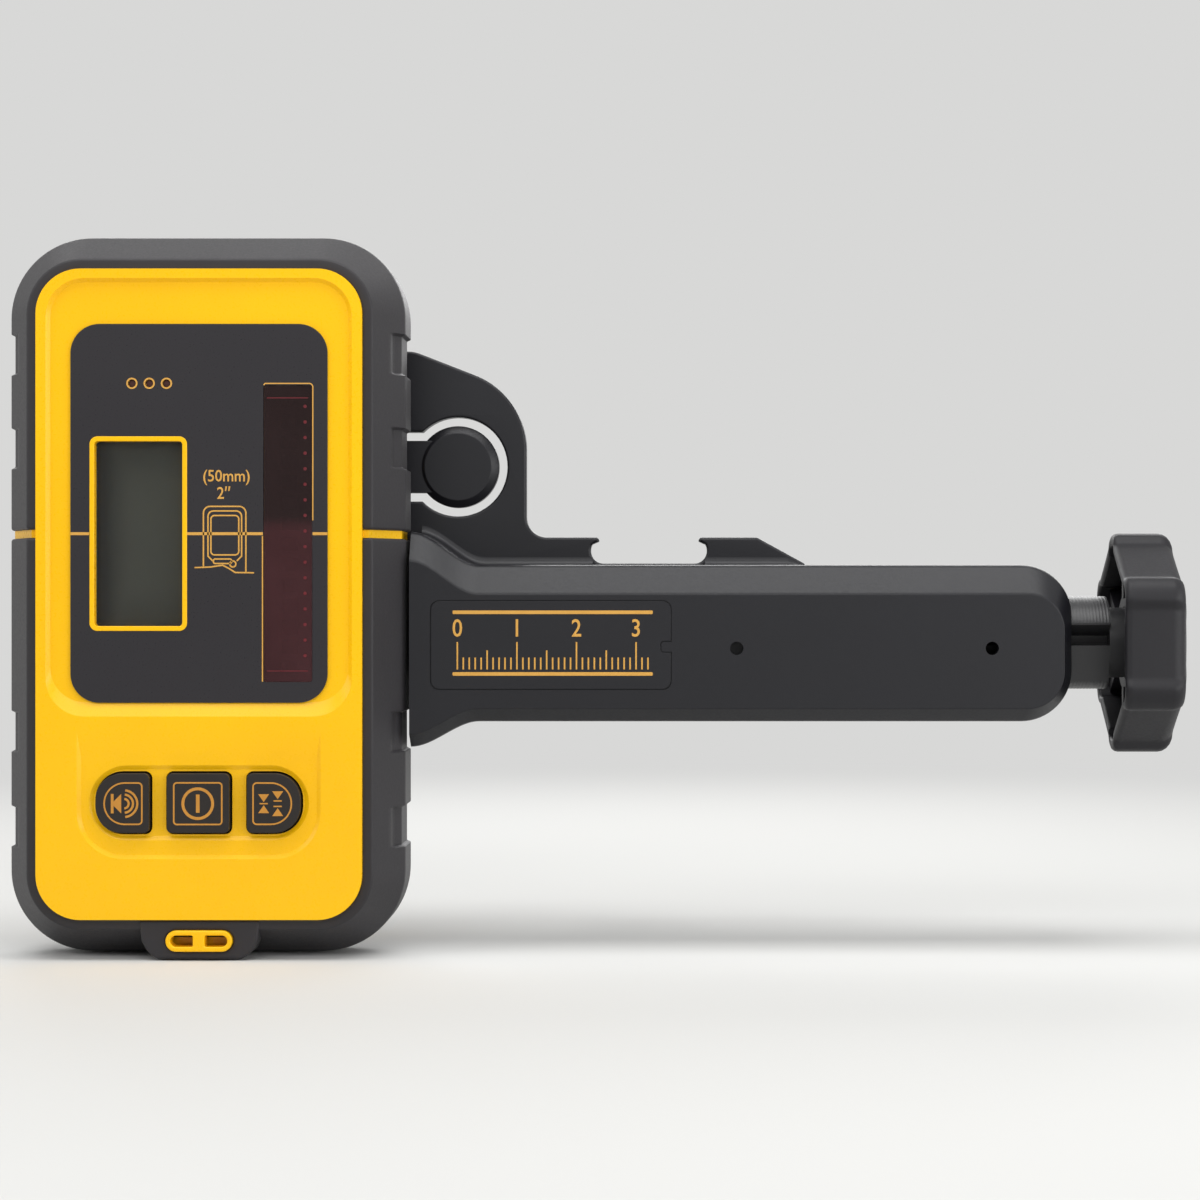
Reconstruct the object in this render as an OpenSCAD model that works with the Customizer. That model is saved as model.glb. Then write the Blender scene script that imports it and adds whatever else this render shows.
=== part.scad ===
// Laser receiver on a rod clamp, in millimetres.
// Origin: middle of the fixed jaw pad's face. X runs along the arm, Y away from the viewer, Z up.
// Each sub-part is drawn from the receiver's on-grade point, and at_seat() moves it to the origin.

/* [Receiver body] */
// Width over the rubber bumpers
body_w = 66.4; // [56:0.2:80]
// Height over the rubber bumpers
body_h = 120; // [100:1:140]
// Thickness, front face to back face
body_d = 27; // [22.5:0.5:34]
// Top edge down to the on-grade line
grade_drop = 50; // [42:1:58]
// Corner radius of the rubber outline
corner_r = 13.7; // [11:0.1:16]
// Side walls of the case halves
wall = 2; // [1.8:0.1:2.1]

/* [Rubber bumpers] */
// Rubber border around the face
border = 6.3; // [6:0.1:6.5]
// Rubber thickness on the sides
rubber_t = 2.4; // [2:0.1:2.8]
// Flat lip beside the face
lip_w = 1.65; // [1.2:0.05:2.2]
// Lip below the face
lip_drop = 1; // [0.5:0.1:1.4]
// Front face back to the widest edge
bevel_front = 9.8; // [9:0.2:11]
// Back face forward to the widest edge
bevel_back = 7.1; // [6.6:0.1:8]
// Height of the on-grade mark
mark_h = 1.35; // [1:0.05:2]
// Depth of the mark and the grips
grip_depth = 0.65; // [0.4:0.05:0.9]
// Height of one grip recess
grip_h = 6.6; // [4:0.2:8]

/* [Front face] */
// Corner radius of the face
face_r = 7.4; // [6:0.2:8.4]
// Front wall thickness
face_t = 2.2; // [2.1:0.05:2.3]
// Rim around the recessed field
rim_w = 1.7; // [1.3:0.1:2.2]
// Depth of the recessed field
field_drop = 0.7; // [0.4:0.05:0.9]
// Height of the slope under the panel
slope_h = 2.6; // [1.5:0.1:3.4]
// Panel edge to the face's side
panel_side = 5.7; // [4.5:0.1:7]
// Panel top to the body's top
panel_top_gap = 15.4; // [13:0.2:18]
// Panel bottom above the key centres
panel_over_keys = 16.5; // [14:0.1:19]
// Panel corner radius
panel_r = 4.8; // [3:0.2:7]
// Panel thickness
panel_t = 0.4; // [0.2:0.05:0.6]

/* [Display and window] */
// Display frame to the panel's left edge
lcd_side = 3.15; // [2:0.05:4.5]
// Display frame to the panel's top
lcd_top_gap = 18.55; // [15:0.05:22]
// Display frame to the panel's bottom
lcd_bot_gap = 11.85; // [8:0.05:15]
// Display frame to the detector window
lcd_gap = 12.55; // [10:0.05:15]
// Display frame line
lcd_line = 0.8; // [0.6:0.05:1.2]
// Detector window width
window_w = 8.1; // [6:0.1:9.6]
// Detector window to the panel's right edge
window_side = 2.5; // [1.6:0.1:3.5]
// Detector window to the panel's top
window_top_gap = 10.1; // [7:0.1:13]
// Detector window to the panel's bottom
window_bot_gap = 3.4; // [2:0.1:6]
// Sound port bore
port_d = 1.3; // [0.8:0.1:1.8]
// Sound port spacing
port_pitch = 2.85; // [2.4:0.05:3.4]
// Sound ports below the panel's top
port_drop = 9.8; // [8:0.1:12]

/* [Keys] */
// Middle key width
key_w = 10.3; // [9:0.1:11.4]
// Key height
key_h = 9.8; // [9:0.2:11]
// Side key width
side_key_w = 8.8; // [8.4:0.1:9.8]
// Small key corners
key_r = 0.9; // [0.5:0.1:1.4]
// Straight part of a side key's outer edge, half height
side_key_bow = 0.6; // [0.2:0.1:2]
// Gap between keys
key_gap = 2.9; // [2.2:0.1:3]
// Key centres above the body's bottom
key_up = 25.6; // [24:0.2:29]
// Key top above the pocket floor
key_rise = 1.2; // [0.8:0.1:1.8]
// Key travel
key_travel = 0.6; // [0.3:0.05:0.7]
// Clearance around a key
key_clear = 0.3; // [0.25:0.05:0.5]
// Depth of the key pocket
pocket_drop = 0.4; // [0.2:0.05:0.6]
// Depth of the dished bed around the keys, below the pocket floor
bed_drop = 0.3; // [0.1:0.05:0.4]
// Pocket floor below the keys
pocket_low = 3.7; // [3:0.1:5]

/* [Battery and door] */
// Battery width
batt_w = 26.5; // [22:0.1:27]
// Play around the battery
batt_clear = 0.2; // [0.15:0.05:0.4]
// Battery tub wall
tub_t = 1; // [0.8:0.1:1.2]
// Snap connector thickness
snap_t = 2.6; // [2.4:0.1:2.8]
// Door thickness
door_t = 2; // [1.6:0.1:2]
// Door knuckle radius
knuckle_r = 1.5; // [1.3:0.05:1.6]
// Door hinge pin
door_pin_d = 1.5; // [1:0.1:1.6]

/* [Lanyard loop] */
// Loop width
loop_w = 11; // [9:0.2:12]
// Loop height
loop_h = 3.5; // [3:0.1:4]
// Loop centre above the bottom edge
loop_up = 2.8; // [2.6:0.05:3.2]
// Width of the loop's middle bar
loop_bar = 2; // [1.4:0.1:2.6]

/* [Clamp plate] */
// Plate thickness
plate_t = 3.5; // [3.2:0.1:4.5]
// Gap behind the receiver
plate_gap = 0.4; // [0.3:0.05:0.8]
// Plate reach beside the receiver
plate_out = 19.4; // [18:0.2:22]
// Plate corner radius
plate_r = 14; // [12:0.5:16]
// Plate top at the receiver's side
plate_top = 32.5; // [31.5:0.5:36]
// Centre height of the plate's round corner
plate_round_z = 15.3; // [14:0.1:17]
// Reading edge, from the receiver's side
edge_out = 59.7; // [58:0.2:70]
// Length of the slope after the reading edge
edge_slope = 8.4; // [4:0.2:12]
// Reading notch start, from the receiver's side
notch_out = 30.65; // [29:0.05:34]
// Reading notch length
notch_l = 20.3; // [14:0.1:22]
// Rail above the on-grade line
rail_up = 25; // [23.6:0.1:26.4]
// Lower rail above the door's top
rail_over_door = 9.8; // [9.4:0.1:14]
// Rails' blind end to the face's side
rail_end_gap = 7.1; // [5:0.1:12]

/* [Latch] */
// Finger pad diameter
pad_d = 14.3; // [12:0.1:15.2]
// Finger pad centre, from the receiver's side
pad_out = 7.45; // [7:0.05:8.4]
// Finger pad above the on-grade line
pad_z = 12.33; // [11.8:0.01:13]
// Slot around the latch
latch_gap = 1.5; // [1:0.1:1.7]
// Latch tab width
neck_w = 9.1; // [7:0.1:9.6]
// Latch tab thickness
tab_t = 2.8; // [2.4:0.1:3]
// Latch tab length, hinge to pad centre
tab_l = 45.6; // [40:0.2:48]
// Latch trunnion diameter
trunnion_d = 1.8; // [1.4:0.1:2]

/* [Clamp arm] */
// Arm length from the receiver
arm_l = 111.8; // [111:0.2:124]
// Arm top below the on-grade line
arm_drop = 5; // [4.8:0.1:6]
// Arm height
arm_h = 26.5; // [26:0.1:30]
// Arm depth
arm_d = 22.4; // [22:0.1:26]
// Arm end corner radius
arm_r = 8.6; // [6:0.2:11]
// Top bevel height
bevel_top = 4.9; // [3.6:0.1:6]
// Bottom bevel height
bevel_bot = 2.3; // [1.2:0.1:4]
// Bevel depth
bevel_d = 3.6; // [2.4:0.1:4.4]
// Arm wall
arm_wall = 2.4; // [2:0.1:2.6]
// Threaded end wall
end_wall = 9.2; // [7:0.2:9.4]
// Root flare, upwards
flare_top = 5.6; // [3:0.1:7]
// Root flare, downwards
flare_bot = 4.3; // [2:0.1:6]
// Root flare length
flare_l = 11.5; // [8:0.5:12.5]
// Through holes in the arm's front
hole_d = 2.24; // [1.6:0.02:3]
// Label recess length
label_l = 40.6; // [30:0.2:44]
// Label recess height
label_h = 15.1; // [12:0.1:15.6]

/* [Jaws] */
// Fixed jaw face, from the receiver's side
seat_out = 25.2; // [25:0.1:25.6]
// Rod gap between the pads as stored
jaw_gap = 24; // [23:0.5:25]
// Jaw reach behind the arm
jaw_reach = 23.6; // [18:0.2:32]
// Jaw thickness at the tip
jaw_tip = 4.3; // [3.4:0.1:6]
// Jaw thickness at the root
jaw_root = 12.3; // [11:0.1:12.5]
// Jaw height
jaw_h = 24.5; // [20:0.5:26]
// Rubber pad thickness
pad_t = 1.6; // [1.2:0.1:2]
// Jaw foot width in the back slot
foot_w = 12.1; // [10:0.1:12.6]
// Carriage length
carriage_l = 14; // [13.6:0.1:14.4]

/* [Screw and knob] */
// Screw diameter
screw_d = 16; // [14:0.1:16.2]
// Thread pitch
thread_pitch = 4; // [3:0.5:5]
// Thread depth
thread_h = 0.7; // [0.4:0.05:0.9]
// Width across the screw's flats
flat_w = 11.9; // [11.4:0.1:14]
// Plain shank by the knob
shank_l = 8.8; // [5:0.2:10]
// Screw tip diameter
tip_d = 9; // [8:0.1:9.6]
// Knob diameter over the six lobes
knob_d = 37.5; // [36:0.1:39]
// Knob width across the flats between the lobes
knob_flat = 33.7; // [32.4:0.1:35]
// Width of the dish in each flat
dish_w = 13.8; // [11:0.2:15]
// Depth of the dish
dish_depth = 0.6; // [0.3:0.05:0.9]
// Knob length
knob_l = 11.5; // [11:0.1:13]
// Gap between arm and knob as stored
knob_gap = 7.7; // [5:0.1:9]
// Knob shell
knob_t = 2.2; // [1.6:0.1:2.6]
// Crown of the knob's end
knob_crown = 1.2; // [0.6:0.1:1.6]

/* [Fits] */
// Sliding clearance on rails and carriage
slide_clear = 0.25; // [0.15:0.05:0.35]
// Running clearance around shafts
run_clear = 0.06; // [0.02:0.01:0.1]

/* [Hidden] */
$fn = 64;
e = 0.01;
yellow = [0.95, 0.72, 0.05];
black = [0.16, 0.16, 0.17];
rubber = [0.24, 0.24, 0.25];
steel = [0.7, 0.7, 0.72];
green = [0.1, 0.35, 0.2];

side_x = body_w / 2;
top_z = grade_drop;
bot_z = grade_drop - body_h;
mid_z = (top_z + bot_z) / 2;
front_y = -body_d / 2;
back_y = body_d / 2;
face_w = body_w - 2 * border;
face_h = body_h - 2 * border;
case_w = body_w - 2 * rubber_t;
case_h = body_h - 2 * rubber_t;
case_r = corner_r - rubber_t;
neck_in = 1.7;
neck_w2 = face_w + 2 * neck_in;
neck_h2 = face_h + 2 * neck_in;
level1_y = front_y + 3.5;
level2_y = front_y + 8.5;
level3_y = back_y - 6;
part_y = (level2_y + level3_y) / 2;
grip_z = [top_z - 19.75, top_z - 35.5, bot_z + 37, bot_z + 21.05];

key_z = bot_z + key_up;
panel_z0 = key_z + panel_over_keys;
panel_z1 = top_z - panel_top_gap;
panel_w = face_w - 2 * panel_side;
panel_h = panel_z1 - panel_z0;
field_z0 = panel_z0 - slope_h;
field_z1 = top_z - border - rim_w - 0.5;
field_y = front_y + field_drop;
field_w = face_w - 2 * rim_w - 1.2;
field_r = face_r - rim_w;
field_band = 1.1;
panel_z = (panel_z0 + panel_z1) / 2;
panel_y = field_y - panel_t;
pocket_y = front_y + pocket_drop;
pocket_z0 = key_z - key_h / 2 - pocket_low;
pocket_z1 = field_z0 - 1.2;
pocket_w = key_w + 2 * (key_gap + side_key_w + 2.6);
pocket_r = 7;
pocket_band = 0.8;
pocket_ramp = 5;
bed_w = key_w + 2 * (key_gap + side_key_w + 1.5);
bed_h = key_h + 3;
bed_band = 0.9;
key_x = key_w / 2 + key_gap + side_key_w / 2;
window_h = panel_h - window_top_gap - window_bot_gap;
window_x = panel_w / 2 - window_side - window_w / 2;
window_z = (panel_z0 + window_bot_gap + panel_z1 - window_top_gap) / 2;
lcd_w = window_x - window_w / 2 - lcd_gap + panel_w / 2 - lcd_side;
lcd_h = panel_h - lcd_top_gap - lcd_bot_gap;
lcd_x = -panel_w / 2 + lcd_side + lcd_w / 2;
lcd_z = (panel_z0 + lcd_bot_gap + panel_z1 - lcd_top_gap) / 2;
port_x = lcd_x + 1.8;
port_z = panel_z1 - port_drop;
in_y = front_y + face_t;
board_t = 1.4;
board_y = in_y + 1.7;
board_back = board_y + board_t;
board_z0 = key_z - key_h / 2 - 5.5;
board_z1 = panel_z1 + 1.4;
board_post_r = 1.4;
flange_t = 0.5;
diode_pitch = 3.4;
diode_w = 2.8;
diode_h = 2.4;
buzzer_r = 7;
buzzer_h = 5;
boss_r = 2.6;
pilot_r = 1;
head_r = 2;

hinge_y = back_y - knuckle_r;
hinge_z = bot_z + border + 3.1;
hinge_l = 30;
pin_end = 3;
batt_z0 = hinge_z + knuckle_r + 1.8;
batt_z1 = batt_z0 + batt_w;
tub_y = board_back + 0.6;
batt_y0 = tub_y + tub_t + batt_clear;
batt_y1 = back_y - door_t - 2 * batt_clear;
batt_t = batt_y1 - batt_y0;
tub_w = neck_w2 - 2 * wall - 2 * tub_t - 1.6;
batt_x0 = -tub_w / 2 + batt_clear;
batt_l = tub_w - snap_t - 2 * batt_clear - 0.2;
batt_y = (batt_y0 + batt_y1) / 2;
batt_z = (batt_z0 + batt_z1) / 2;
snap_h = 12;
stud_r = 2.8;
stud_l = 1.8;
stud_off = 6.4;
ledge_w = 1;
door_w = tub_w + 2 * ledge_w;
door_z0 = hinge_z + knuckle_r + 1;
door_z1 = batt_z1 + ledge_w;
door_gap = 0.3;
swing_gap = 0.6;
ledge_y = back_y - door_t - door_gap;
rail_neck = 3;
rail_head = 6;
boss_x_up = face_w / 2 - 4.9;
boss_z_up = (rail_up + rail_head / 2 + slide_clear + top_z - border) / 2;
board_w = 2 * (boss_x_up - boss_r - 0.4);
boss_x_dn = face_w / 2 - 3.6;
boss_z_dn = door_z1 + 3.6;
loop_z = bot_z + loop_up;

plate_y0 = back_y + plate_gap;
plate_y1 = plate_y0 + plate_t;
plate_mid = plate_y0 + plate_t / 2;
plate_right = side_x + plate_out;
rail_dn = door_z1 + rail_over_door;
rail_x0 = -face_w / 2 + rail_end_gap;
rail_x1 = side_x - 2;
tongue_x0 = rail_x0 - 2;
tongue_z0 = rail_dn - 4;
tongue_z1 = plate_top;
rail_neck_y = plate_y0 - 1.9;
rail_head_y = rail_neck_y - 1.8;
track_y = rail_head_y - slide_clear - 1.5;
track_x0 = rail_x0 - 2;
edge_x1 = side_x + edge_out;
notch_x0 = side_x + notch_out;
notch_r = arm_drop / 2 - 0.25;
notch_z = -notch_r - 0.05;
edge_fillet = 3.6;
latch_x = side_x + pad_out;
latch_root = latch_x - tab_l;
tab_y0 = plate_mid - tab_t / 2;
tab_y1 = plate_mid + tab_t / 2;
catch_x = latch_root + 18;
catch_h = 1.95;
catch_w = 6;

root_x = side_x + 0.7;
arm_end = root_x + arm_l;
arm_top = -arm_drop;
arm_bot = -arm_drop - arm_h;
arm_y0 = plate_y1 - arm_d;
arm_y1 = plate_y1;
axis_y = (arm_y0 + 0.2 + arm_y1) / 2;
axis_z = (arm_top + arm_bot) / 2;
hollow_y0 = arm_y0 + arm_wall + 0.2;
hollow_z0 = arm_bot + arm_wall;
hollow_z1 = arm_top - arm_wall;
hollow_x0 = root_x + 13;
hollow_x1 = arm_end - end_wall;
lip_t = 2.4;
label_x0 = root_x + 3.5;
label_z = axis_z - 0.25;
label_t = 0.35;

seat_x = side_x + seat_out;
seat_y = arm_y1 + 0.5 + jaw_reach / 2;
seat = [seat_x, seat_y, axis_z];
tip_y = arm_y1 + jaw_reach;
slot_x0 = seat_x + 1.6;
slot_w = foot_w + 2 * slide_clear + 0.1;
load_x = slot_x0 + carriage_l + 2;
jaw_x = seat_x + jaw_gap;
car_x0 = jaw_x + pad_t;
car_x1 = car_x0 + carriage_l;
car_y0 = hollow_y0 + slide_clear;
car_y1 = arm_y1 - lip_t - slide_clear;
clip_x = car_x0 + 8;
clip_t = 1.2;
groove_r = tip_d / 2 - 1;
knob_x0 = arm_end + knob_gap;
knob_x1 = knob_x0 + knob_l;
spigot_r = 6;
flat_turn = 75;
spigot_x0 = knob_x0 - 1;
spigot_x1 = knob_x1 - 4.6;
fixing_l = 7;
hub_x0 = knob_x0 + 2.4;
hub_r = 8.6;
knob_end = 3;
cup_x1 = knob_x1 - knob_crown - knob_end;
lobes = 6;

module at_seat() {
    translate(-seat) children();
}

module box(x0, x1, y0, y1, z0, z1) {
    translate([x0, y0, z0]) cube([x1 - x0, y1 - y0, z1 - z0]);
}

module slab(y0, y1) {
    translate([0, y1, 0]) rotate([90, 0, 0]) linear_extrude(height = y1 - y0) children();
}

module rod_y(x, z, r, y0, y1) {
    translate([x, y1, z]) rotate([90, 0, 0]) cylinder(r = r, h = y1 - y0);
}

module rod_x(y, z, r, x0, x1) {
    translate([x0, y, z]) rotate([0, 90, 0]) cylinder(r = r, h = x1 - x0);
}

module rrect(w, h, r) {
    square([w - 2 * r, h], center = true);
    square([w, h - 2 * r], center = true);
    for (i = [-1, 1], j = [-1, 1]) translate([i * (w / 2 - r), j * (h / 2 - r)]) circle(r);
}

module body_slab(w, h, r, y0, y1) {
    translate([0, 0, mid_z]) slab(y0, y1) rrect(w, h, r);
}

module rubber_form(inset) {
    $fn = 40;
    w1 = face_w + 2 * lip_w - 2 * inset;
    h1 = face_h + 2 * lip_w - 2 * inset;
    r1 = face_r + lip_w - inset;
    w2 = body_w - 2 * inset;
    h2 = body_h - 2 * inset;
    r2 = corner_r - inset;
    hull() {
        body_slab(w1, h1, r1, front_y + lip_drop + inset, front_y + lip_drop + inset + e);
        body_slab(w2, h2, r2, front_y + bevel_front, back_y - bevel_back);
        body_slab(w1, h1, r1, back_y - lip_drop - inset - e, back_y - lip_drop - inset);
    }
}

module front_core() {
    body_slab(face_w, face_h, face_r, front_y, level1_y + e);
    body_slab(neck_w2, neck_h2, face_r + neck_in, level1_y, level2_y + e);
    body_slab(case_w, case_h, case_r, level2_y, part_y);
}

module rear_core() {
    body_slab(case_w, case_h, case_r, part_y, level3_y);
    body_slab(face_w, face_h, face_r, level3_y - e, back_y);
}

module mark_ribs(y0, y1) {
    intersection() {
        rubber_form(grip_depth);
        union() {
            for (s = [-1, 1]) translate([s * side_x, (y0 + y1) / 2, 0])
                cube([2 * border + 2, y1 - y0, mark_h], center = true);
        }
    }
}

module grips() {
    difference() {
        for (z = grip_z, s = [-1, 1]) translate([s * (side_x + 1.1), 0, z])
            cube([6, body_d, grip_h], center = true);
        rubber_form(grip_depth);
    }
}

module at_bosses() {
    for (s = [-1, 1]) {
        translate([s * boss_x_up, 0, boss_z_up]) children();
        translate([s * boss_x_dn, 0, boss_z_dn]) children();
    }
}

module rail_slots(x0, x1) {
    for (z = [rail_up, rail_dn]) {
        box(x0, x1, rail_head_y - slide_clear, rail_neck_y + slide_clear,
            z - rail_head / 2 - slide_clear, z + rail_head / 2 + slide_clear);
        box(x0, x1, rail_neck_y, back_y + 1,
            z - rail_neck / 2 - slide_clear, z + rail_neck / 2 + slide_clear);
    }
}

module seal_ring(w) {
    difference() {
        rrect(case_w - 2 * (wall - w) / 2, case_h - 2 * (wall - w) / 2, case_r - (wall - w) / 2);
        rrect(case_w - (wall + w), case_h - (wall + w), case_r - (wall + w) / 2);
    }
}

module key_2d(side, grow) {
    if (side == 0) {
        rrect(key_w + 2 * grow, key_h + 2 * grow, key_r + grow);
    } else {
        w = side_key_w / 2;
        h = key_h / 2;
        bow = h - side_key_bow;
        for (j = [-1, 1]) {
            translate([side * (w - bow), j * (h - bow)]) circle(bow + grow);
            translate([-side * (w - key_r), j * (h - key_r)]) circle(key_r + grow);
        }
        translate([side * (key_r - bow) / 2, 0])
            square([2 * w - key_r - bow, 2 * h + 2 * grow], center = true);
        square([2 * w + 2 * grow, 2 * side_key_bow], center = true);
        translate([-side * bow / 2, 0]) square([2 * w - bow + 2 * grow, 2 * (h - key_r)], center = true);
    }
}

module at_key(side) {
    translate([side * key_x, 0, key_z]) children();
}

module key_form(side) {
    at_key(side) {
        slab(pocket_y - key_rise, in_y + 0.05 + e) key_2d(side, 0);
        slab(in_y + 0.05, in_y + 0.6) key_2d(side, 0.8);
        rod_y(0, 0, 1.6, in_y + 0.6 - e, board_y - 0.25 - key_travel);
    }
}

module front_case() {
    color(yellow) difference() {
        union() {
            difference() {
                union() {
                    front_core();
                    mark_ribs(front_y, part_y);
                }
                body_slab(face_w - 2 * wall - 0.4, face_h - 2 * wall - 0.4, face_r - wall,
                    in_y, level1_y + 2);
                body_slab(neck_w2 - 2 * wall + 0.2, neck_h2 - 2 * wall + 0.2, face_r,
                    level1_y + wall - 0.2, level2_y + 3);
                body_slab(case_w - 2 * wall, case_h - 2 * wall, case_r - wall,
                    level2_y + wall, part_y + 1);
            }
            at_bosses() rod_y(0, 0, boss_r, in_y - e, part_y);
            for (s = [-1, 1], z = [board_z0 + 1.8, board_z1 - 1.8])
                rod_y(s * (board_w / 2 - 1.8), z, board_post_r, in_y - e, board_y);
        }
        hull() {
            translate([0, 0, (field_z0 - 1.3 + field_z1 + field_band) / 2])
                slab(front_y - 0.5, front_y - 0.5 + e)
                rrect(field_w + 2 * field_band, field_z1 + field_band - field_z0 + 1.3,
                    field_r + field_band, $fn = 40);
            translate([0, 0, (panel_z0 + 0.1 + field_z1) / 2]) slab(field_y - e, field_y)
                rrect(field_w, field_z1 - panel_z0 - 0.1, field_r, $fn = 40);
        }
        hull() {
            slab(front_y - 0.1, front_y - 0.1 + e) pocket_2d(pocket_band, pocket_z1);
            slab(pocket_y - e, pocket_y) pocket_2d(0, pocket_z1 - pocket_ramp);
        }
        translate([0, 0, key_z]) hull() {
            slab(pocket_y - 0.1, pocket_y - 0.1 + e) loop_2d(bed_w, bed_h, $fn = 40);
            slab(pocket_y + bed_drop - e, pocket_y + bed_drop)
                loop_2d(bed_w - 2 * bed_band, bed_h - 2 * bed_band, $fn = 40);
        }
        translate([lcd_x, 0, lcd_z]) slab(front_y - 1, in_y + 1) rrect(lcd_w, lcd_h, 1.3);
        translate([window_x, 0, window_z]) slab(front_y - 1, in_y + 1) rrect(window_w, window_h, 0.5);
        for (i = [-1, 0, 1]) rod_y(port_x + i * port_pitch, port_z, port_d / 2, front_y - 1, in_y + 1);
        for (k = [-1, 0, 1]) at_key(k) slab(front_y - 1, in_y + 1) key_2d(k, key_clear);
        at_bosses() rod_y(0, 0, pilot_r, in_y + 1, part_y + 1);
        translate([0, 0, mid_z]) slab(part_y - 0.8, part_y + 1) seal_ring(0.9);
    }
}

// Key pocket outline: straight sides up to the top, large round corners below
module pocket_2d(grow, top) {
    for (s = [-1, 1]) translate([s * (pocket_w / 2 - pocket_r), pocket_z0 + pocket_r])
        circle(pocket_r + grow, $fn = 40);
    translate([-pocket_w / 2 - grow, top - 1]) square([pocket_w + 2 * grow, 1]);
}

module rear_case() {
    color(yellow) difference() {
        union() {
            difference() {
                union() {
                    rear_core();
                    mark_ribs(part_y, back_y);
                }
                body_slab(case_w - 2 * wall, case_h - 2 * wall, case_r - wall,
                    part_y - 1, level3_y - wall);
                body_slab(face_w - 2 * wall, face_h - 2 * wall, face_r - wall,
                    level3_y - wall - 1, back_y - 2.2);
            }
            for (z = [rail_up, rail_dn])
                box(track_x0, face_w / 2 - 1, track_y, back_y - 1, z - 4.6, z + 4.6);
            box(-tub_w / 2 - tub_t, tub_w / 2 + tub_t, tub_y, back_y - 1,
                batt_z0 - batt_clear - tub_t, batt_z1 + batt_clear + tub_t);
            at_bosses() rod_y(0, 0, boss_r, part_y, back_y - 1);
            box(latch_root + 8, latch_root + 28, back_y - 3.4, back_y - 1, pad_z - 5, pad_z + 5);
        }
        box(-tub_w / 2, tub_w / 2, tub_y + tub_t, back_y + 1,
            batt_z0 - batt_clear, batt_z1 + batt_clear);
        box(-door_w / 2 - door_gap, door_w / 2 + door_gap, ledge_y, back_y + 1,
            door_z0 - swing_gap, door_z1 + door_gap);
        box(-hinge_l / 2 - door_gap, hinge_l / 2 + door_gap, hinge_y - knuckle_r - door_gap, back_y + 1,
            hinge_z - knuckle_r - door_gap, door_z0 + e);
        rod_x(hinge_y, hinge_z, door_pin_d / 2, -hinge_l / 2 - pin_end, hinge_l / 2 + pin_end);
        rail_slots(track_x0 + 1.5, side_x + 2);
        box(catch_x - 0.4, catch_x + 4.4, tab_y0 - catch_h - 0.3, back_y + 1,
            pad_z - catch_w / 2 - 0.4, pad_z + catch_w / 2 + 0.4);
        at_bosses() {
            rod_y(0, 0, pilot_r + 0.3, part_y - 1, back_y + 1);
            rod_y(0, 0, head_r + 0.3, back_y - 3.6, back_y + 1);
        }
    }
}

module bumper_cuts() {
    front_core();
    rear_core();
    rail_slots(0, side_x + 2);
    grips();
}

module upper_bumper() {
    color(rubber) difference() {
        rubber_form(0);
        bumper_cuts();
        box(-body_w, body_w, -body_d, body_d, bot_z - 1, mark_h / 2);
    }
}

module lanyard_boss() {
    slab(front_y + 0.1, front_y + 9) polygon([
        [-10, bot_z + border], [-9.6, bot_z + 2.6], [-8.6, bot_z + 0.9], [-7, bot_z - 0.3],
        [7, bot_z - 0.3], [8.6, bot_z + 0.9], [9.6, bot_z + 2.6], [10, bot_z + border]]);
}

module loop_2d(w, h) {
    square([w - h, h], center = true);
    for (s = [-1, 1]) translate([s * (w - h) / 2, 0]) circle(h / 2);
}

module lower_bumper() {
    color(rubber) difference() {
        union() {
            rubber_form(0);
            lanyard_boss();
        }
        bumper_cuts();
        box(-body_w, body_w, -body_d, body_d, -mark_h / 2, top_z + 1);
        translate([0, 0, loop_z]) {
            slab(front_y - 1, front_y + 2.8) loop_2d(loop_w, loop_h);
            slab(front_y + 2.7, front_y + 5.4) loop_2d(loop_w - 1.6, loop_h - 1.6);
        }
    }
}

module case_seal() {
    color(black) translate([0, 0, mid_z]) slab(part_y - 0.8, part_y) seal_ring(0.9);
}

module case_screws() {
    color(steel) at_bosses() difference() {
        union() {
            rod_y(0, 0, head_r, back_y - 3.6, back_y - 2);
            rod_y(0, 0, pilot_r, in_y + 2, back_y - 3.6 + e);
        }
        translate([-1.4, back_y - 2.6, -0.3]) cube([2.8, 1, 0.6]);
        translate([-0.3, back_y - 2.6, -1.4]) cube([0.6, 1, 2.8]);
    }
}

module face_panel() {
    color(black) difference() {
        translate([0, 0, panel_z]) slab(panel_y, field_y) rrect(panel_w, panel_h, panel_r);
        translate([lcd_x, 0, lcd_z]) slab(panel_y - 1, field_y + 1) rrect(lcd_w, lcd_h, 1.3);
        translate([window_x, 0, window_z]) slab(panel_y - 1, field_y + 1) rrect(window_w, window_h, 0.5);
        for (i = [-1, 0, 1])
            rod_y(port_x + i * port_pitch, port_z, port_d / 2, panel_y - 1, field_y + 1);
    }
}

module lcd_frame() {
    color(yellow) translate([lcd_x, 0, lcd_z]) slab(panel_y - 0.1, in_y) difference() {
        rrect(lcd_w, lcd_h, 1.3);
        rrect(lcd_w - 2 * lcd_line, lcd_h - 2 * lcd_line, 0.6);
    }
}

module lcd_lens() {
    color([0.7, 0.75, 0.72, 0.4]) translate([lcd_x, 0, lcd_z]) slab(in_y - 0.7, in_y)
        rrect(lcd_w - 2 * lcd_line, lcd_h - 2 * lcd_line, 0.6);
}

module lcd_glass() {
    color([0.27, 0.28, 0.26]) translate([lcd_x, 0, lcd_z]) slab(in_y, board_y)
        rrect(lcd_w + 1.6, lcd_h + 1.6, 0.4);
}

module detector_window() {
    color([0.35, 0.03, 0.04]) translate([window_x, 0, window_z]) {
        slab(panel_y + 0.1, in_y + e) rrect(window_w, window_h, 0.5);
        slab(in_y, in_y + flange_t) rrect(window_w + 1.2, window_h + 1.2, 0.5);
    }
}

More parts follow.
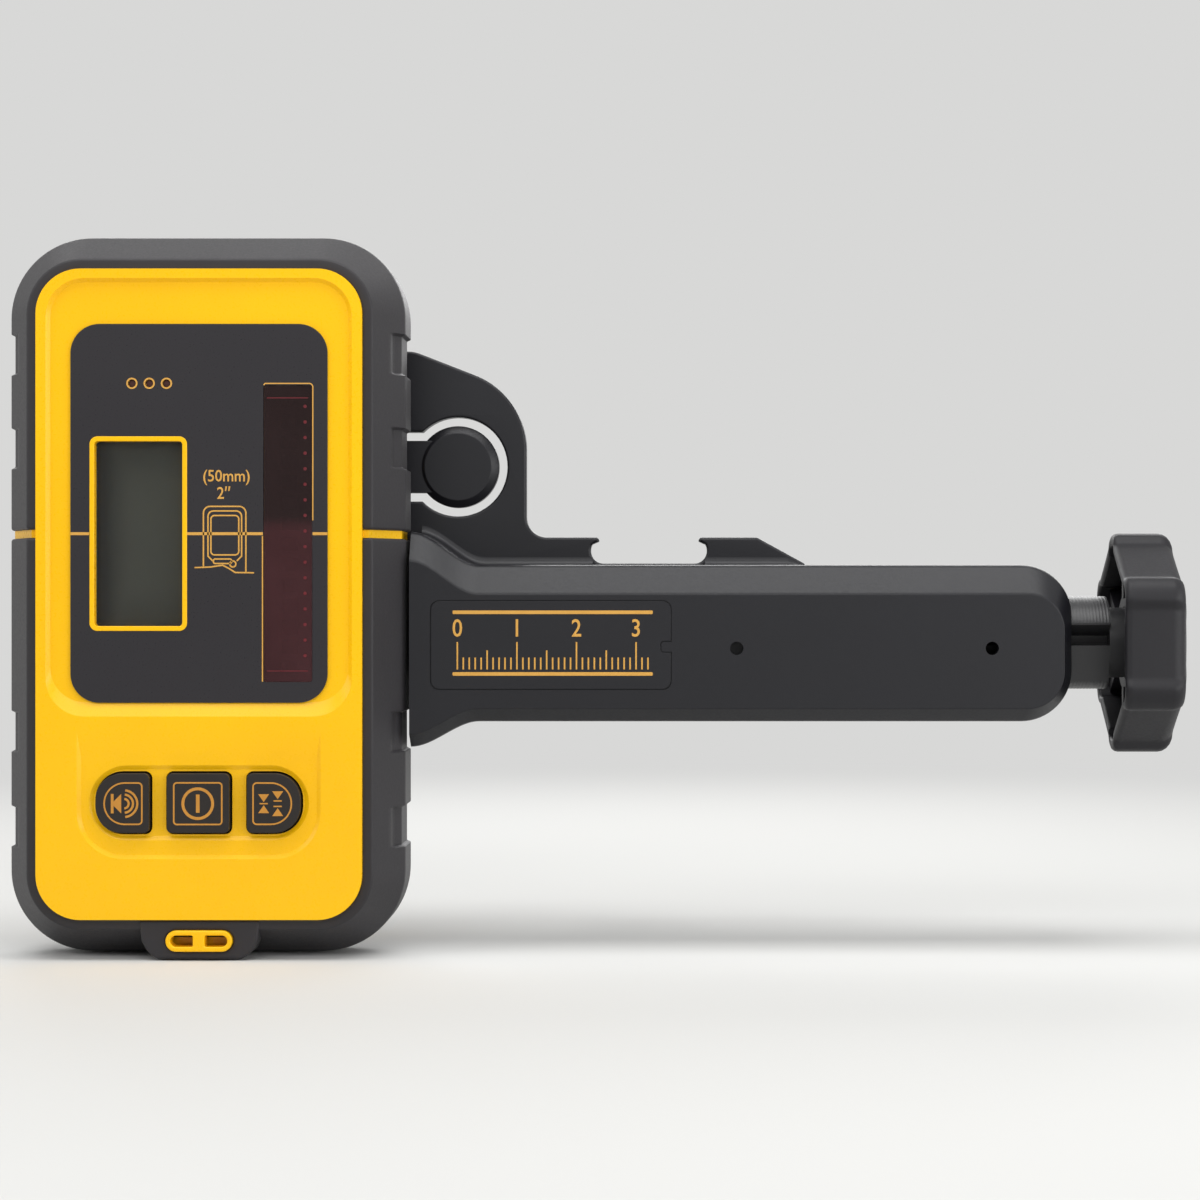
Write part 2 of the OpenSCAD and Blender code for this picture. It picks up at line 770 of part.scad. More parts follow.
module detector_board() {
    color(green) translate([window_x, 0, window_z]) slab(board_y - 0.7, board_y)
        rrect(window_w - 0.4, window_h, 0.4);
}

module photodiodes() {
    n = floor(window_h / diode_pitch);
    color(black) for (i = [0:n - 1])
        translate([window_x, 0, window_z + (i - (n - 1) / 2) * diode_pitch])
            slab(in_y + flange_t, board_y - 0.7) square([diode_w, diode_h], center = true);
}

module main_board() {
    color(green) difference() {
        box(-board_w / 2, board_w / 2, board_y, board_back, board_z0, board_z1);
        rod_y(port_x, port_z, 3, board_y - 1, board_back + 1);
    }
}

module board_parts() {
    z = board_z1 - 30;
    color(black) {
        box(-12, -2, board_back, board_back + 1.6, z - 11, z - 1);
        box(1, 6, board_back, board_back + 1.4, z - 10, z - 5);
        box(6, 12, board_back, board_back + 2.4, z + 6, z + 10);
        box(1, 3, board_back, board_back + 1, z + 2, z + 6);
        rod_y(9.4, z - 8, 2.6, board_back, board_back + 6);
        rod_y(9.4, z, 2.4, board_back, board_back + 5);
    }
}

module buzzer() {
    color(black) difference() {
        rod_y(port_x, port_z, buzzer_r, board_back, board_back + buzzer_h);
        rod_y(port_x, port_z, 1.2, board_back - 1, board_back + 2);
    }
}

module key_mat() {
    color(rubber) difference() {
        translate([0, 0, key_z]) slab(in_y, in_y + 0.45)
            rrect(2 * key_x + side_key_w + 3.6, key_h + 3, 2);
        for (k = [-1, 0, 1]) at_key(k) slab(in_y - 1, in_y + 1) key_2d(k, 1.1);
    }
}

module key_domes() {
    color(steel) for (k = [-1, 0, 1]) at_key(k) rod_y(0, 0, 2.6, board_y - 0.2, board_y);
}

module sound_key() {
    color(black) key_form(-1);
}

module power_key() {
    color(black) key_form(0);
}

module accuracy_key() {
    color(black) key_form(1);
}

module lanyard_loop() {
    color(yellow) translate([0, 0, loop_z]) difference() {
        slab(front_y - 0.1, front_y + 2.8) loop_2d(loop_w, loop_h);
        difference() {
            slab(front_y - 1, front_y + 3) loop_2d(loop_w - 1.65, loop_h - 1.65);
            box(-loop_bar / 2, loop_bar / 2, front_y - 2, front_y + 4, -loop_h, loop_h);
        }
    }
}

module studs(x0) {
    for (s = [-1, 1]) rod_x(batt_y, batt_z + s * stud_off, stud_r, x0, batt_x0 + batt_l + stud_l);
}

module battery() {
    color([0.2, 0.2, 0.22]) translate([batt_x0, 0, batt_z]) rotate([0, 90, 0])
        linear_extrude(height = batt_l) translate([0, batt_y]) rrect(batt_w, batt_t, 2);
    color(steel) studs(batt_x0 + batt_l - e);
}

module battery_snap() {
    color(black) difference() {
        box(batt_x0 + batt_l, batt_x0 + batt_l + snap_t, batt_y - snap_h / 2, batt_y + snap_h / 2,
            batt_z0 + 0.6, batt_z1 - 0.6);
        studs(batt_x0 + batt_l - 1);
    }
}

module battery_door() {
    color(black) difference() {
        union() {
            box(-door_w / 2, door_w / 2, back_y - door_t, back_y, door_z0, door_z1);
            rod_x(hinge_y, hinge_z, knuckle_r, -hinge_l / 2, hinge_l / 2);
            box(-hinge_l / 2, hinge_l / 2, back_y - door_t, back_y, hinge_z, door_z0 + 1);
        }
        rod_x(hinge_y, hinge_z, door_pin_d / 2 + run_clear, -hinge_l, hinge_l);
        for (i = [0:3]) box(-9, 9, back_y - 0.5, back_y + 1, door_z1 - 3.4 - 2 * i, door_z1 - 2.4 - 2 * i);
    }
}

module door_pin() {
    color(steel) rod_x(hinge_y, hinge_z, door_pin_d / 2, -hinge_l / 2 - pin_end, hinge_l / 2 + pin_end);
}

module door_seal() {
    color(black) difference() {
        box(-door_w / 2 + 0.2, door_w / 2 - 0.2, ledge_y, ledge_y + door_gap - 0.05,
            door_z0 + 0.2, door_z1 - 0.2);
        box(-tub_w / 2, tub_w / 2, ledge_y - 1, ledge_y + 1, door_z0 - 1, batt_z1 + batt_clear);
    }
}

function smooth(u) = u * u * (3 - 2 * u);

function arm_outline(ti, bi, ei, r) = concat(
    [for (i = [0:8]) [root_x + flare_l * i / 8, arm_top - ti + flare_top * (1 - smooth(i / 8))]],
    [for (i = [0:8]) [arm_end - ei - r + r * sin(i * 11.25), arm_top - ti - r + r * cos(i * 11.25)]],
    [for (i = [0:8]) [arm_end - ei - r + r * cos(i * 11.25), arm_bot + bi + r - r * sin(i * 11.25)]],
    [for (i = [8:-1:0]) [root_x + flare_l * i / 8, arm_bot + bi - flare_bot * (1 - smooth(i / 8))]]);

module arm_solid() {
    a = arm_outline(bevel_top, bevel_bot, 1.7, arm_r - 2.4);
    b = arm_outline(0, 0, 0, arm_r);
    n = len(a);
    pts = concat([for (p = a) [p[0], arm_y0, p[1]]], [for (p = b) [p[0], arm_y0 + bevel_d, p[1]]],
        [for (p = b) [p[0], arm_y1, p[1]]]);
    slopes = [for (i = [0:n - 1])
        each [[i, n + i, (i + 1) % n], [n + i, n + (i + 1) % n, (i + 1) % n]]];
    sides = [for (i = [0:n - 1]) [n + i, 2 * n + i, 2 * n + (i + 1) % n, n + (i + 1) % n]];
    polyhedron(points = pts, faces = concat([[for (i = [0:n - 1]) i]],
        [[for (i = [n - 1:-1:0]) 2 * n + i]], slopes, sides));
}

module plate_2d() {
    c = [plate_right - plate_r, plate_round_z];
    p = [side_x - 0.2, plate_top];
    d = norm(p - c);
    a = atan2(p[1] - c[1], p[0] - c[0]) - acos(plate_r / d);
    t = c + plate_r * [cos(a), sin(a)];
    difference() {
        union() {
            polygon([[tongue_x0, tongue_z0], [tongue_x0, tongue_z1], [p[0], tongue_z1], p, t, c,
                [plate_right, c[1]], [plate_right, arm_top - 6], [root_x + 2, arm_top - 6],
                [root_x + 2, tongue_z0]]);
            translate(c) circle(plate_r);
            polygon([[plate_right - 2, 0], [edge_x1, 0], [edge_x1 + edge_slope, arm_top + 0.4],
                [edge_x1 + edge_slope, arm_top - 6], [plate_right - 2, arm_top - 6]]);
            difference() {
                translate([plate_right - 1, -1]) square(edge_fillet + 1);
                translate([plate_right + edge_fillet, edge_fillet]) circle(edge_fillet);
            }
        }
        translate([notch_x0 + notch_l / 2, notch_z]) {
            loop_2d(notch_l, 2 * notch_r);
            translate([-notch_l / 2 + 1.2, 0]) square([notch_l - 2.4, 5]);
        }
        translate([latch_x, pad_z]) circle(pad_d / 2 + latch_gap);
        translate([latch_root - tab_t / 2 - 0.4, pad_z - neck_w / 2 - latch_gap])
            square([tab_l + tab_t / 2, neck_w + 2 * latch_gap]);
    }
}

module rails() {
    for (z = [rail_up, rail_dn]) {
        box(rail_x0, rail_x1, rail_neck_y, plate_y0 + e, z - rail_neck / 2, z + rail_neck / 2);
        box(rail_x0, rail_x1, rail_head_y, rail_neck_y + e, z - rail_head / 2, z + rail_head / 2);
    }
}

module jaw_prism(x, dir, y0) {
    translate([x, 0, axis_z - jaw_h / 2]) linear_extrude(height = jaw_h) polygon([
        [0, y0], [0, tip_y], [dir * (jaw_tip - 1.5), tip_y], [dir * jaw_tip, tip_y - 1.5],
        [dir * (jaw_root - 2), arm_y1 + 6.5], [dir * jaw_root, arm_y1 + 2], [dir * jaw_root, y0]]);
}

module clamp_frame() {
    color(black) difference() {
        union() {
            slab(plate_y0, plate_y1) plate_2d();
            arm_solid();
            rails();
            jaw_prism(seat_x - pad_t, -1, arm_y1 - 1);
        }
        box(root_x + 2.5, hollow_x0 - 2.4, hollow_y0, arm_y1 + 0.01, hollow_z0, hollow_z1);
        box(hollow_x0, hollow_x1, hollow_y0, arm_y1 - lip_t, hollow_z0, hollow_z1);
        box(slot_x0, load_x, hollow_y0, arm_y1 + 1, hollow_z0, hollow_z1);
        box(slot_x0, hollow_x1, hollow_y0, arm_y1 + 1, axis_z - slot_w / 2, axis_z + slot_w / 2);
        rod_x(axis_y, axis_z, screw_d / 2 + run_clear, hollow_x1 - 1, arm_end + 1);
        translate([label_x0 + label_l / 2, 0, label_z]) slab(arm_y0 - 1, arm_y0 + label_t)
            rrect(label_l, label_h, 1.5);
        for (x = [arm_end - 56.8, arm_end - 13.9])
            rod_y(x, axis_z - 0.8, hole_d / 2, arm_y0 - 1, hollow_y0 + 1);
        translate([latch_root, plate_mid, pad_z - neck_w / 2 - latch_gap - 1.4])
            cylinder(d = trunnion_d + 2 * run_clear, h = neck_w + 2 * latch_gap + 2.8);
    }
}

module label_plate() {
    color(black) translate([label_x0 + label_l / 2, 0, label_z]) slab(arm_y0 + 0.05, arm_y0 + label_t)
        rrect(label_l - 0.3, label_h - 0.3, 1.35);
}

module latch_tab() {
    color(black) {
        translate([latch_root, tab_y0, pad_z - neck_w / 2]) cube([tab_l, tab_t, neck_w]);
        translate([latch_root, plate_mid, pad_z - neck_w / 2]) cylinder(d = tab_t, h = neck_w);
        translate([latch_root, plate_mid, pad_z - neck_w / 2 - latch_gap - 1.2])
            cylinder(d = trunnion_d, h = neck_w + 2 * latch_gap + 2.4);
        translate([latch_x, tab_y1, pad_z]) rotate([90, 0, 0]) rotate_extrude() polygon([[0, 0],
            [pad_d / 2, 0], [pad_d / 2, tab_t - 0.6], [pad_d / 2 - 1.3, tab_t + 0.3], [0, tab_t + 0.3]]);
    }
}

module latch_catch() {
    color(black) translate([catch_x, 0, pad_z - catch_w / 2]) linear_extrude(height = catch_w) polygon([
        [0, tab_y0], [3.1, tab_y0 - catch_h], [4, tab_y0 - catch_h], [4, tab_y0]]);
}

module pad_form(x0, dir) {
    n = 4;
    pitch = (jaw_reach - 2) / n;
    difference() {
        box(x0, x0 + pad_t, arm_y1 + 1.5, tip_y - 0.5, axis_z - jaw_h / 2 + 1, axis_z + jaw_h / 2 - 1);
        for (i = [0:n - 1]) box(dir > 0 ? x0 + pad_t - 0.5 : x0 - 1, dir > 0 ? x0 + pad_t + 1 : x0 + 0.5,
            seat_y + (i - (n - 1) / 2) * pitch - 0.5, seat_y + (i - (n - 1) / 2) * pitch + 0.5,
            axis_z - jaw_h, axis_z + jaw_h);
    }
}

module fixed_jaw_pad() {
    color(rubber) pad_form(seat_x - pad_t, 1);
}

module moving_jaw() {
    color(black) difference() {
        union() {
            box(car_x0, car_x1, car_y0, car_y1, hollow_z0 + slide_clear, hollow_z1 - slide_clear);
            box(car_x0, car_x0 + jaw_root, car_y1 - e, arm_y1 + 1, axis_z - foot_w / 2, axis_z + foot_w / 2);
            jaw_prism(car_x0, 1, arm_y1 + slide_clear);
        }
        rod_x(axis_y, axis_z, tip_d / 2 + run_clear, car_x0 + 4, car_x1 + 1);
        box(clip_x - 0.1, clip_x + clip_t + 0.1, axis_y - 5.5, axis_y + 5.5, axis_z - 5.5, hollow_z1);
    }
}

module moving_jaw_pad() {
    color(rubber) pad_form(jaw_x, -1);
}

module clamp_screw() {
    n = floor((spigot_x0 - shank_l - car_x1 - 1.4) / thread_pitch * 2);
    r = screw_d / 2;
    p = thread_pitch / 2;
    x0 = car_x1 + 0.4;
    teeth = [for (i = [0:n - 1]) each [[r - thread_h, x0 + 1 + i * p], [r, x0 + 1 + (i + 0.4) * p],
        [r, x0 + 1 + (i + 0.6) * p]]];
    color(black) translate([0, axis_y, axis_z]) rotate([0, 90, 0]) {
        difference() {
            rotate_extrude() polygon(concat([[0, x0], [r - thread_h, x0]], teeth,
                [[r - thread_h, x0 + 1 + n * p], [r, spigot_x0 - shank_l], [r, spigot_x0], [0, spigot_x0]]));
            for (a = [0, 180]) rotate([0, 0, a - flat_turn]) translate([flat_w / 2, -screw_d, x0 - 1])
                cube([screw_d, 2 * screw_d, spigot_x0 - x0 + 2]);
        }
        rotate_extrude() polygon([[0, car_x0 + 4.4], [tip_d / 2, car_x0 + 4.4], [tip_d / 2, clip_x - 0.2],
            [groove_r, clip_x - 0.2], [groove_r, clip_x + clip_t + 0.2], [tip_d / 2, clip_x + clip_t + 0.2],
            [tip_d / 2, x0 + e], [0, x0 + e]]);
        difference() {
            translate([0, 0, spigot_x0 - e]) cylinder(r = spigot_r, h = spigot_x1 - spigot_x0);
            translate([0, 0, spigot_x1 - fixing_l - 0.5]) cylinder(r = 1.6, h = fixing_l + 2);
        }
    }
}

module screw_clip() {
    color(steel) difference() {
        box(clip_x, clip_x + clip_t, axis_y - 5.4, axis_y + 5.4, axis_z - 5, hollow_z1 - slide_clear - 0.6);
        rod_x(axis_y, axis_z, groove_r + run_clear, clip_x - 1, clip_x + 2);
        box(clip_x - 1, clip_x + 2, axis_y - groove_r - run_clear, axis_y + groove_r + run_clear,
            axis_z - 6, axis_z);
    }
}

module knob_2d(inset) {
    reach = knob_flat / 2 - inset;
    difference() {
        intersection() {
            circle(knob_d / 2 - inset);
            polygon([for (i = [0:lobes - 1]) reach / cos(180 / lobes) *
                [cos(i * 360 / lobes), sin(i * 360 / lobes)]]);
        }
        for (i = [0:lobes - 1]) rotate((i + 0.5) * 360 / lobes)
            translate([reach - dish_depth, -dish_w / 2]) square([2, dish_w]);
    }
}

module clamp_knob() {
    r = knob_d / 2;
    web = 1.6;
    color(black) translate([0, axis_y, axis_z]) rotate([0, 90, 0]) difference() {
        union() {
            difference() {
                intersection() {
                    translate([0, 0, knob_x0]) linear_extrude(height = knob_l) knob_2d(0);
                    rotate_extrude() polygon([[0, knob_x0 - 1], [r - 2.4, knob_x0 - 1], [r - 1.2, knob_x0],
                        [r, knob_x0 + 1.6], [r, knob_x1 - knob_crown - 2], [r - 1.8, knob_x1 - knob_crown],
                        [r * 0.42, knob_x1], [0, knob_x1]]);
                }
                translate([0, 0, knob_x0 - 1]) linear_extrude(height = cup_x1 - knob_x0 + 1) knob_2d(knob_t);
            }
            translate([0, 0, hub_x0]) cylinder(r = hub_r, h = cup_x1 - hub_x0 + 0.4);
            for (i = [0:lobes - 1]) rotate(i * 360 / lobes) translate([hub_r - 1, -web / 2, knob_x0 + 2])
                cube([r - hub_r, web, cup_x1 - knob_x0 - 1.7]);
        }
        translate([0, 0, spigot_x0 - 1]) cylinder(r = spigot_r, h = spigot_x1 - spigot_x0 + 1 - e);
        translate([0, 0, spigot_x1 - 2]) cylinder(r = 1.6, h = 6);
        translate([0, 0, knob_x1 - 3]) cylinder(r = 4.6, h = 6);
    }
}

module knob_screw() {
    color(steel) translate([0, axis_y, axis_z]) rotate([0, 90, 0]) difference() {
        union() {
            translate([0, 0, spigot_x1 - fixing_l])
                cylinder(r = 1.6, h = knob_x1 - 3 - spigot_x1 + fixing_l + e);
            translate([0, 0, knob_x1 - 3]) cylinder(r1 = 3.9, r2 = 3.2, h = 2.2);
        }
        for (a = [0, 90]) rotate(a) translate([-2.2, -0.4, knob_x1 - 1.8]) cube([4.4, 0.8, 2]);
    }
}

at_seat() front_case();
at_seat() rear_case();
at_seat() upper_bumper();
at_seat() lower_bumper();
at_seat() case_seal();
at_seat() case_screws();
at_seat() face_panel();
at_seat() lcd_frame();
at_seat() lcd_lens();
at_seat() lcd_glass();
at_seat() detector_window();
at_seat() detector_board();
at_seat() photodiodes();
at_seat() main_board();
at_seat() board_parts();
at_seat() buzzer();
at_seat() key_mat();
at_seat() key_domes();
at_seat() sound_key();
at_seat() power_key();
at_seat() accuracy_key();
at_seat() lanyard_loop();
at_seat() battery();
at_seat() battery_snap();
at_seat() battery_door();
at_seat() door_pin();
at_seat() door_seal();
at_seat() clamp_frame();
at_seat() label_plate();
at_seat() latch_tab();
at_seat() latch_catch();
at_seat() fixed_jaw_pad();
at_seat() moving_jaw();
at_seat() moving_jaw_pad();
at_seat() clamp_screw();
at_seat() screw_clip();
at_seat() clamp_knob();
at_seat() knob_screw();
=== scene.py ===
import math
import bmesh
import bpy
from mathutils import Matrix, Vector


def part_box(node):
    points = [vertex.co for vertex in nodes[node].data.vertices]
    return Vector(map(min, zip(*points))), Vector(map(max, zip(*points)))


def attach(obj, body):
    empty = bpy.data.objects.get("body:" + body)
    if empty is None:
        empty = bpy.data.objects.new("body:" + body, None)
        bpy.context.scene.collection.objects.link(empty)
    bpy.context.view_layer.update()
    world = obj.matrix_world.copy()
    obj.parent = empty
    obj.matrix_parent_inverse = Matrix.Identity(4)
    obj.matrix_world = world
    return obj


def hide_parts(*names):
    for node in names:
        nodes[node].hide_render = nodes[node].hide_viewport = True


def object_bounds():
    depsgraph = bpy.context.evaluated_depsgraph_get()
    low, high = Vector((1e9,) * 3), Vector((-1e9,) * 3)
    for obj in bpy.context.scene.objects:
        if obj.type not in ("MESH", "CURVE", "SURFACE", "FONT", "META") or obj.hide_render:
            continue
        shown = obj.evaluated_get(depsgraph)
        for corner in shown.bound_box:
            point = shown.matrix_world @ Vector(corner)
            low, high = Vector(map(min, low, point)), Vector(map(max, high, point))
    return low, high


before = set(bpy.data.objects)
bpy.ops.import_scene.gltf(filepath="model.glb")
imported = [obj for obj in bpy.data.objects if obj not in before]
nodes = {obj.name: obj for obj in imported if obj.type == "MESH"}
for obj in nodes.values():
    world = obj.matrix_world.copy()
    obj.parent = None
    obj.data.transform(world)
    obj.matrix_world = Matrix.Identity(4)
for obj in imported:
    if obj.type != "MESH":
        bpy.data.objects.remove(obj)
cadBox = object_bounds()
mm = 0.001

# the on-grade point of the receiver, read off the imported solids: every size below is in mm from it
caseLow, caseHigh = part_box("front_case")
gradeX = (caseLow.x + caseHigh.x) / 2
gradeY = (caseLow.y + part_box("rear_case")[1].y) / 2
gradeZ = (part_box("upper_bumper")[0].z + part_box("lower_bumper")[1].z) / 2


def at(x, y, z):
    return Vector((gradeX + x * mm, gradeY + y * mm, gradeZ + z * mm))


def linear(hexCode):
    parts = [int(hexCode[i:i + 2], 16) / 255 for i in (1, 3, 5)]
    return [c / 12.92 if c <= 0.04045 else ((c + 0.055) / 1.055) ** 2.4 for c in parts] + [1]


def addNode(tree, kind, settings=None, links=None):
    node = tree.nodes.new(kind)
    for name, value in (settings or {}).items():
        if isinstance(name, int) or name in node.inputs:
            node.inputs[name].default_value = value
        else:
            setattr(node, name, value)
    for name, source in (links or {}).items():
        tree.links.new(source, node.inputs[name])
    return node


def newFinish(name, shader):
    finish = bpy.data.materials.new(name)
    finish.use_nodes = True
    tree = finish.node_tree
    surface = tree.nodes["Principled BSDF"]
    for socket, value in shader.items():
        surface.inputs[socket].default_value = value
    return finish, tree, surface


print("frame loaded:", len(nodes), "solids")


# a spark-eroded mould leaves plastics a fine even grain, and the melt leaves faint soft clouds; inks, gauze,
# boards and plated steel vary at the same two scales. The real grain is too fine to show, so it is coarser
def grainedFinish(name, look):
    finish, tree, surface = newFinish(name, look["shader"])
    place = addNode(tree, "ShaderNodeTexCoord")
    cloud = addNode(tree, "ShaderNodeTexNoise",
                    {"Scale": 1 / (look["cloudMm"] * mm), "Detail": 3.0}, {"Vector": place.outputs["Object"]})
    grain = addNode(tree, "ShaderNodeTexNoise",
                    {"Scale": 1 / (look["grainMm"] * mm), "Detail": 4.0, "Roughness": 0.62},
                    {"Vector": place.outputs["Object"]})
    tone = addNode(tree, "ShaderNodeMix",
                   {"data_type": "RGBA", 6: linear(look["dark"]), 7: linear(look["light"])},
                   {0: cloud.outputs["Fac"]})
    tree.links.new(tone.outputs[2], surface.inputs["Base Color"])
    matt = addNode(tree, "ShaderNodeMapRange",
                   {"From Min": 0.3, "From Max": 0.7, "To Min": look["smooth"], "To Max": look["rough"]},
                   {"Value": grain.outputs["Fac"]})
    tree.links.new(matt.outputs["Result"], surface.inputs["Roughness"])
    bump = addNode(tree, "ShaderNodeBump", {"Strength": look["bump"], "Distance": look["depthMm"] * mm},
                   {"Height": grain.outputs["Fac"]})
    tree.links.new(bump.outputs["Normal"], surface.inputs["Normal"])
    return finish


yellowAbs = grainedFinish("yellowAbs", {  # glossy-satin moulded ABS: even warm yellow with a soft highlight
    "dark": "#f7b907", "light": "#fcc508", "cloudMm": 26, "grainMm": 0.5, "depthMm": 0.02,
    "smooth": 0.25, "rough": 0.33, "bump": 0.12,
    "shader": {"IOR": 1.53, "Specular IOR Level": 0.28}})
blackRubber = grainedFinish("blackRubber", {  # overmoulded TPE: dull charcoal, broad pale sheen on its slopes
    "dark": "#232124", "light": "#29272a", "cloudMm": 18, "grainMm": 0.42, "depthMm": 0.05,
    "smooth": 0.46, "rough": 0.58, "bump": 0.35,
    "shader": {"IOR": 1.5, "Specular IOR Level": 0.36, "Sheen Weight": 0.04, "Sheen Roughness": 0.6}})
blackNylon = grainedFinish("blackNylon", {  # glass-filled nylon, textured mould: charcoal, satin haze
    "dark": "#131317", "light": "#18181d", "cloudMm": 22, "grainMm": 0.45, "depthMm": 0.03,
    "smooth": 0.36, "rough": 0.46, "bump": 0.3,
    "shader": {"IOR": 1.53, "Specular IOR Level": 0.32}})
gripNylon = grainedFinish("gripNylon", {  # the same nylon dulled by hands: softer highlights on the knob
    "dark": "#151418", "light": "#1b1a1e", "cloudMm": 16, "grainMm": 0.45, "depthMm": 0.03,
    "smooth": 0.46, "rough": 0.56, "bump": 0.3,
    "shader": {"IOR": 1.53, "Specular IOR Level": 0.3}})
panelFilm = grainedFinish("panelFilm", {  # back-printed polycarbonate film: near-black, fine satin
    "dark": "#242226", "light": "#29272a", "cloudMm": 40, "grainMm": 0.3, "depthMm": 0.008,
    "smooth": 0.26, "rough": 0.34, "bump": 0.15,
    "shader": {"IOR": 1.58, "Specular IOR Level": 0.28}})
blackPolymer = grainedFinish("blackPolymer", {  # plain injection-moulded small parts: dark with a mild gloss
    "dark": "#222224", "light": "#2a2a2c", "cloudMm": 8, "grainMm": 0.3, "depthMm": 0.02,
    "smooth": 0.36, "rough": 0.48, "bump": 0.2,
    "shader": {"IOR": 1.52}})
siliconeKeys = grainedFinish("siliconeKeys", {  # moulded silicone key tops: soft black with a dull bloom
    "dark": "#1e1a18", "light": "#25201d", "cloudMm": 5, "grainMm": 0.25, "depthMm": 0.02,
    "smooth": 0.46, "rough": 0.58, "bump": 0.25,
    "shader": {"IOR": 1.43, "Specular IOR Level": 0.4}})
softSeal = grainedFinish("softSeal", {  # silicone cord seals: matt black
    "dark": "#1d1d1e", "light": "#262627", "cloudMm": 4, "grainMm": 0.2, "depthMm": 0.02,
    "smooth": 0.6, "rough": 0.75, "bump": 0.2,
    "shader": {"IOR": 1.43}})
fibreBoard = grainedFinish("fibreBoard", {  # solder-masked glass epoxy: deep green with a wet gloss
    "dark": "#123c26", "light": "#1b5032", "cloudMm": 3, "grainMm": 0.4, "depthMm": 0.02,
    "smooth": 0.22, "rough": 0.34, "bump": 0.2,
    "shader": {"IOR": 1.55}})
batterySleeve = grainedFinish("batterySleeve", {  # printed steel jacket with lacquer: dark slate, clear gloss
    "dark": "#2b2d33", "light": "#34363d", "cloudMm": 12, "grainMm": 0.6, "depthMm": 0.006,
    "smooth": 0.2, "rough": 0.3, "bump": 0.1,
    "shader": {"IOR": 1.5, "Metallic": 0.35, "Coat Weight": 0.3}})
zincSteel = grainedFinish("zincSteel", {  # zinc-plated steel, tumbled: pale grey metal with faint mottling
    "dark": "#a3a5a8", "light": "#bcbec0", "cloudMm": 1.6, "grainMm": 0.2, "depthMm": 0.01,
    "smooth": 0.24, "rough": 0.4, "bump": 0.15,
    "shader": {"Metallic": 1.0}})
panelInk = grainedFinish("panelInk", {  # screen-printed epoxy ink: muted amber, slightly uneven cover
    "dark": "#c8923a", "light": "#d6a24a", "cloudMm": 2, "grainMm": 0.25, "depthMm": 0.01,
    "smooth": 0.5, "rough": 0.62, "bump": 0.15,
    "shader": {"IOR": 1.5}})
keyInk = grainedFinish("keyInk", {  # silicone ink worn by thumbs: dull orange, a little thin in places
    "dark": "#b47a2c", "light": "#c88c36", "cloudMm": 1.2, "grainMm": 0.2, "depthMm": 0.01,
    "smooth": 0.55, "rough": 0.7, "bump": 0.15,
    "shader": {"IOR": 1.43}})
redInk = grainedFinish("redInk", {  # thin red screen ink: barely lighter than the dyed window
    "dark": "#5c2026", "light": "#6d282d", "cloudMm": 1.5, "grainMm": 0.2, "depthMm": 0.005,
    "smooth": 0.3, "rough": 0.42, "bump": 0.1,
    "shader": {"IOR": 1.5, "Specular IOR Level": 0.25}})
portShadeGauze = grainedFinish("portShadeGauze", {  # woven acoustic gauze behind the sound ports, its dull red-brown painted as the deep ports' shade
    "dark": "#3e1d18", "light": "#562a1f", "cloudMm": 0.5, "grainMm": 0.18, "depthMm": 0.03,
    "smooth": 0.6, "rough": 0.75, "bump": 0.4,
    "shader": {"IOR": 1.5}})


# liquid-crystal glass: grey-green, with painted shade towards its left side and its two ends, where the
# recessed frame shades it
def cellFinish(name, look):
    finish, tree, surface = newFinish(name, look["shader"])
    place = addNode(tree, "ShaderNodeTexCoord")
    shift = addNode(tree, "ShaderNodeMapping",
                    {"vector_type": "TEXTURE", "Location": at(*look["middle"]),
                     "Scale": [s * mm for s in look["half"]]},
                    {"Vector": place.outputs["Object"]})
    apart = addNode(tree, "ShaderNodeSeparateXYZ", {}, {"Vector": shift.outputs["Vector"]})
    ends = addNode(tree, "ShaderNodeMath", {"operation": "ABSOLUTE"}, {0: apart.outputs["Z"]})
    # painted shade: the side mask darkens the glass towards its left side, the end mask towards its two ends,
    # and the larger of the two mixes in the rim colour
    edge = addNode(tree, "ShaderNodeMapRange",
                   {"interpolation_type": "SMOOTHSTEP", "From Min": look["sideFrom"],
                    "From Max": look["sideTo"]},
                   {"Value": apart.outputs["X"]})
    endShadeMask = addNode(tree, "ShaderNodeMapRange",
                   {"interpolation_type": "SMOOTHSTEP", "From Min": look["endFrom"],
                    "To Max": look["endShade"]},
                   {"Value": ends.outputs[0]})
    rim = addNode(tree, "ShaderNodeMath", {"operation": "MAXIMUM"},
                  {0: edge.outputs["Result"], 1: endShadeMask.outputs["Result"]})
    cloud = addNode(tree, "ShaderNodeTexNoise", {"Scale": 1 / (look["cloudMm"] * mm), "Detail": 2.0},
                    {"Vector": place.outputs["Object"]})
    tone = addNode(tree, "ShaderNodeMix",
                   {"data_type": "RGBA", 6: linear(look["dark"]), 7: linear(look["light"])},
                   {0: cloud.outputs["Fac"]})
    shade = addNode(tree, "ShaderNodeMix", {"data_type": "RGBA", 7: linear(look["rim"])},
                    {0: rim.outputs[0], 6: tone.outputs[2]})
    tree.links.new(shade.outputs[2], surface.inputs["Base Color"])
    return finish


# rim is the colour of the painted shade along the left side and the two ends
displayCell = cellFinish("displayCell", {
    "dark": "#363731", "light": "#3c3d36", "rim": "#161616", "cloudMm": 14, "middle": (-10.0, -11.3, 0.0),
    "half": (7.5, 7.5, 15.6), "sideFrom": -0.15, "sideTo": -1.0, "endFrom": 0.45, "endShade": 0.4,
    "shader": {"IOR": 1.52, "Roughness": 0.22, "Specular IOR Level": 0.15}})


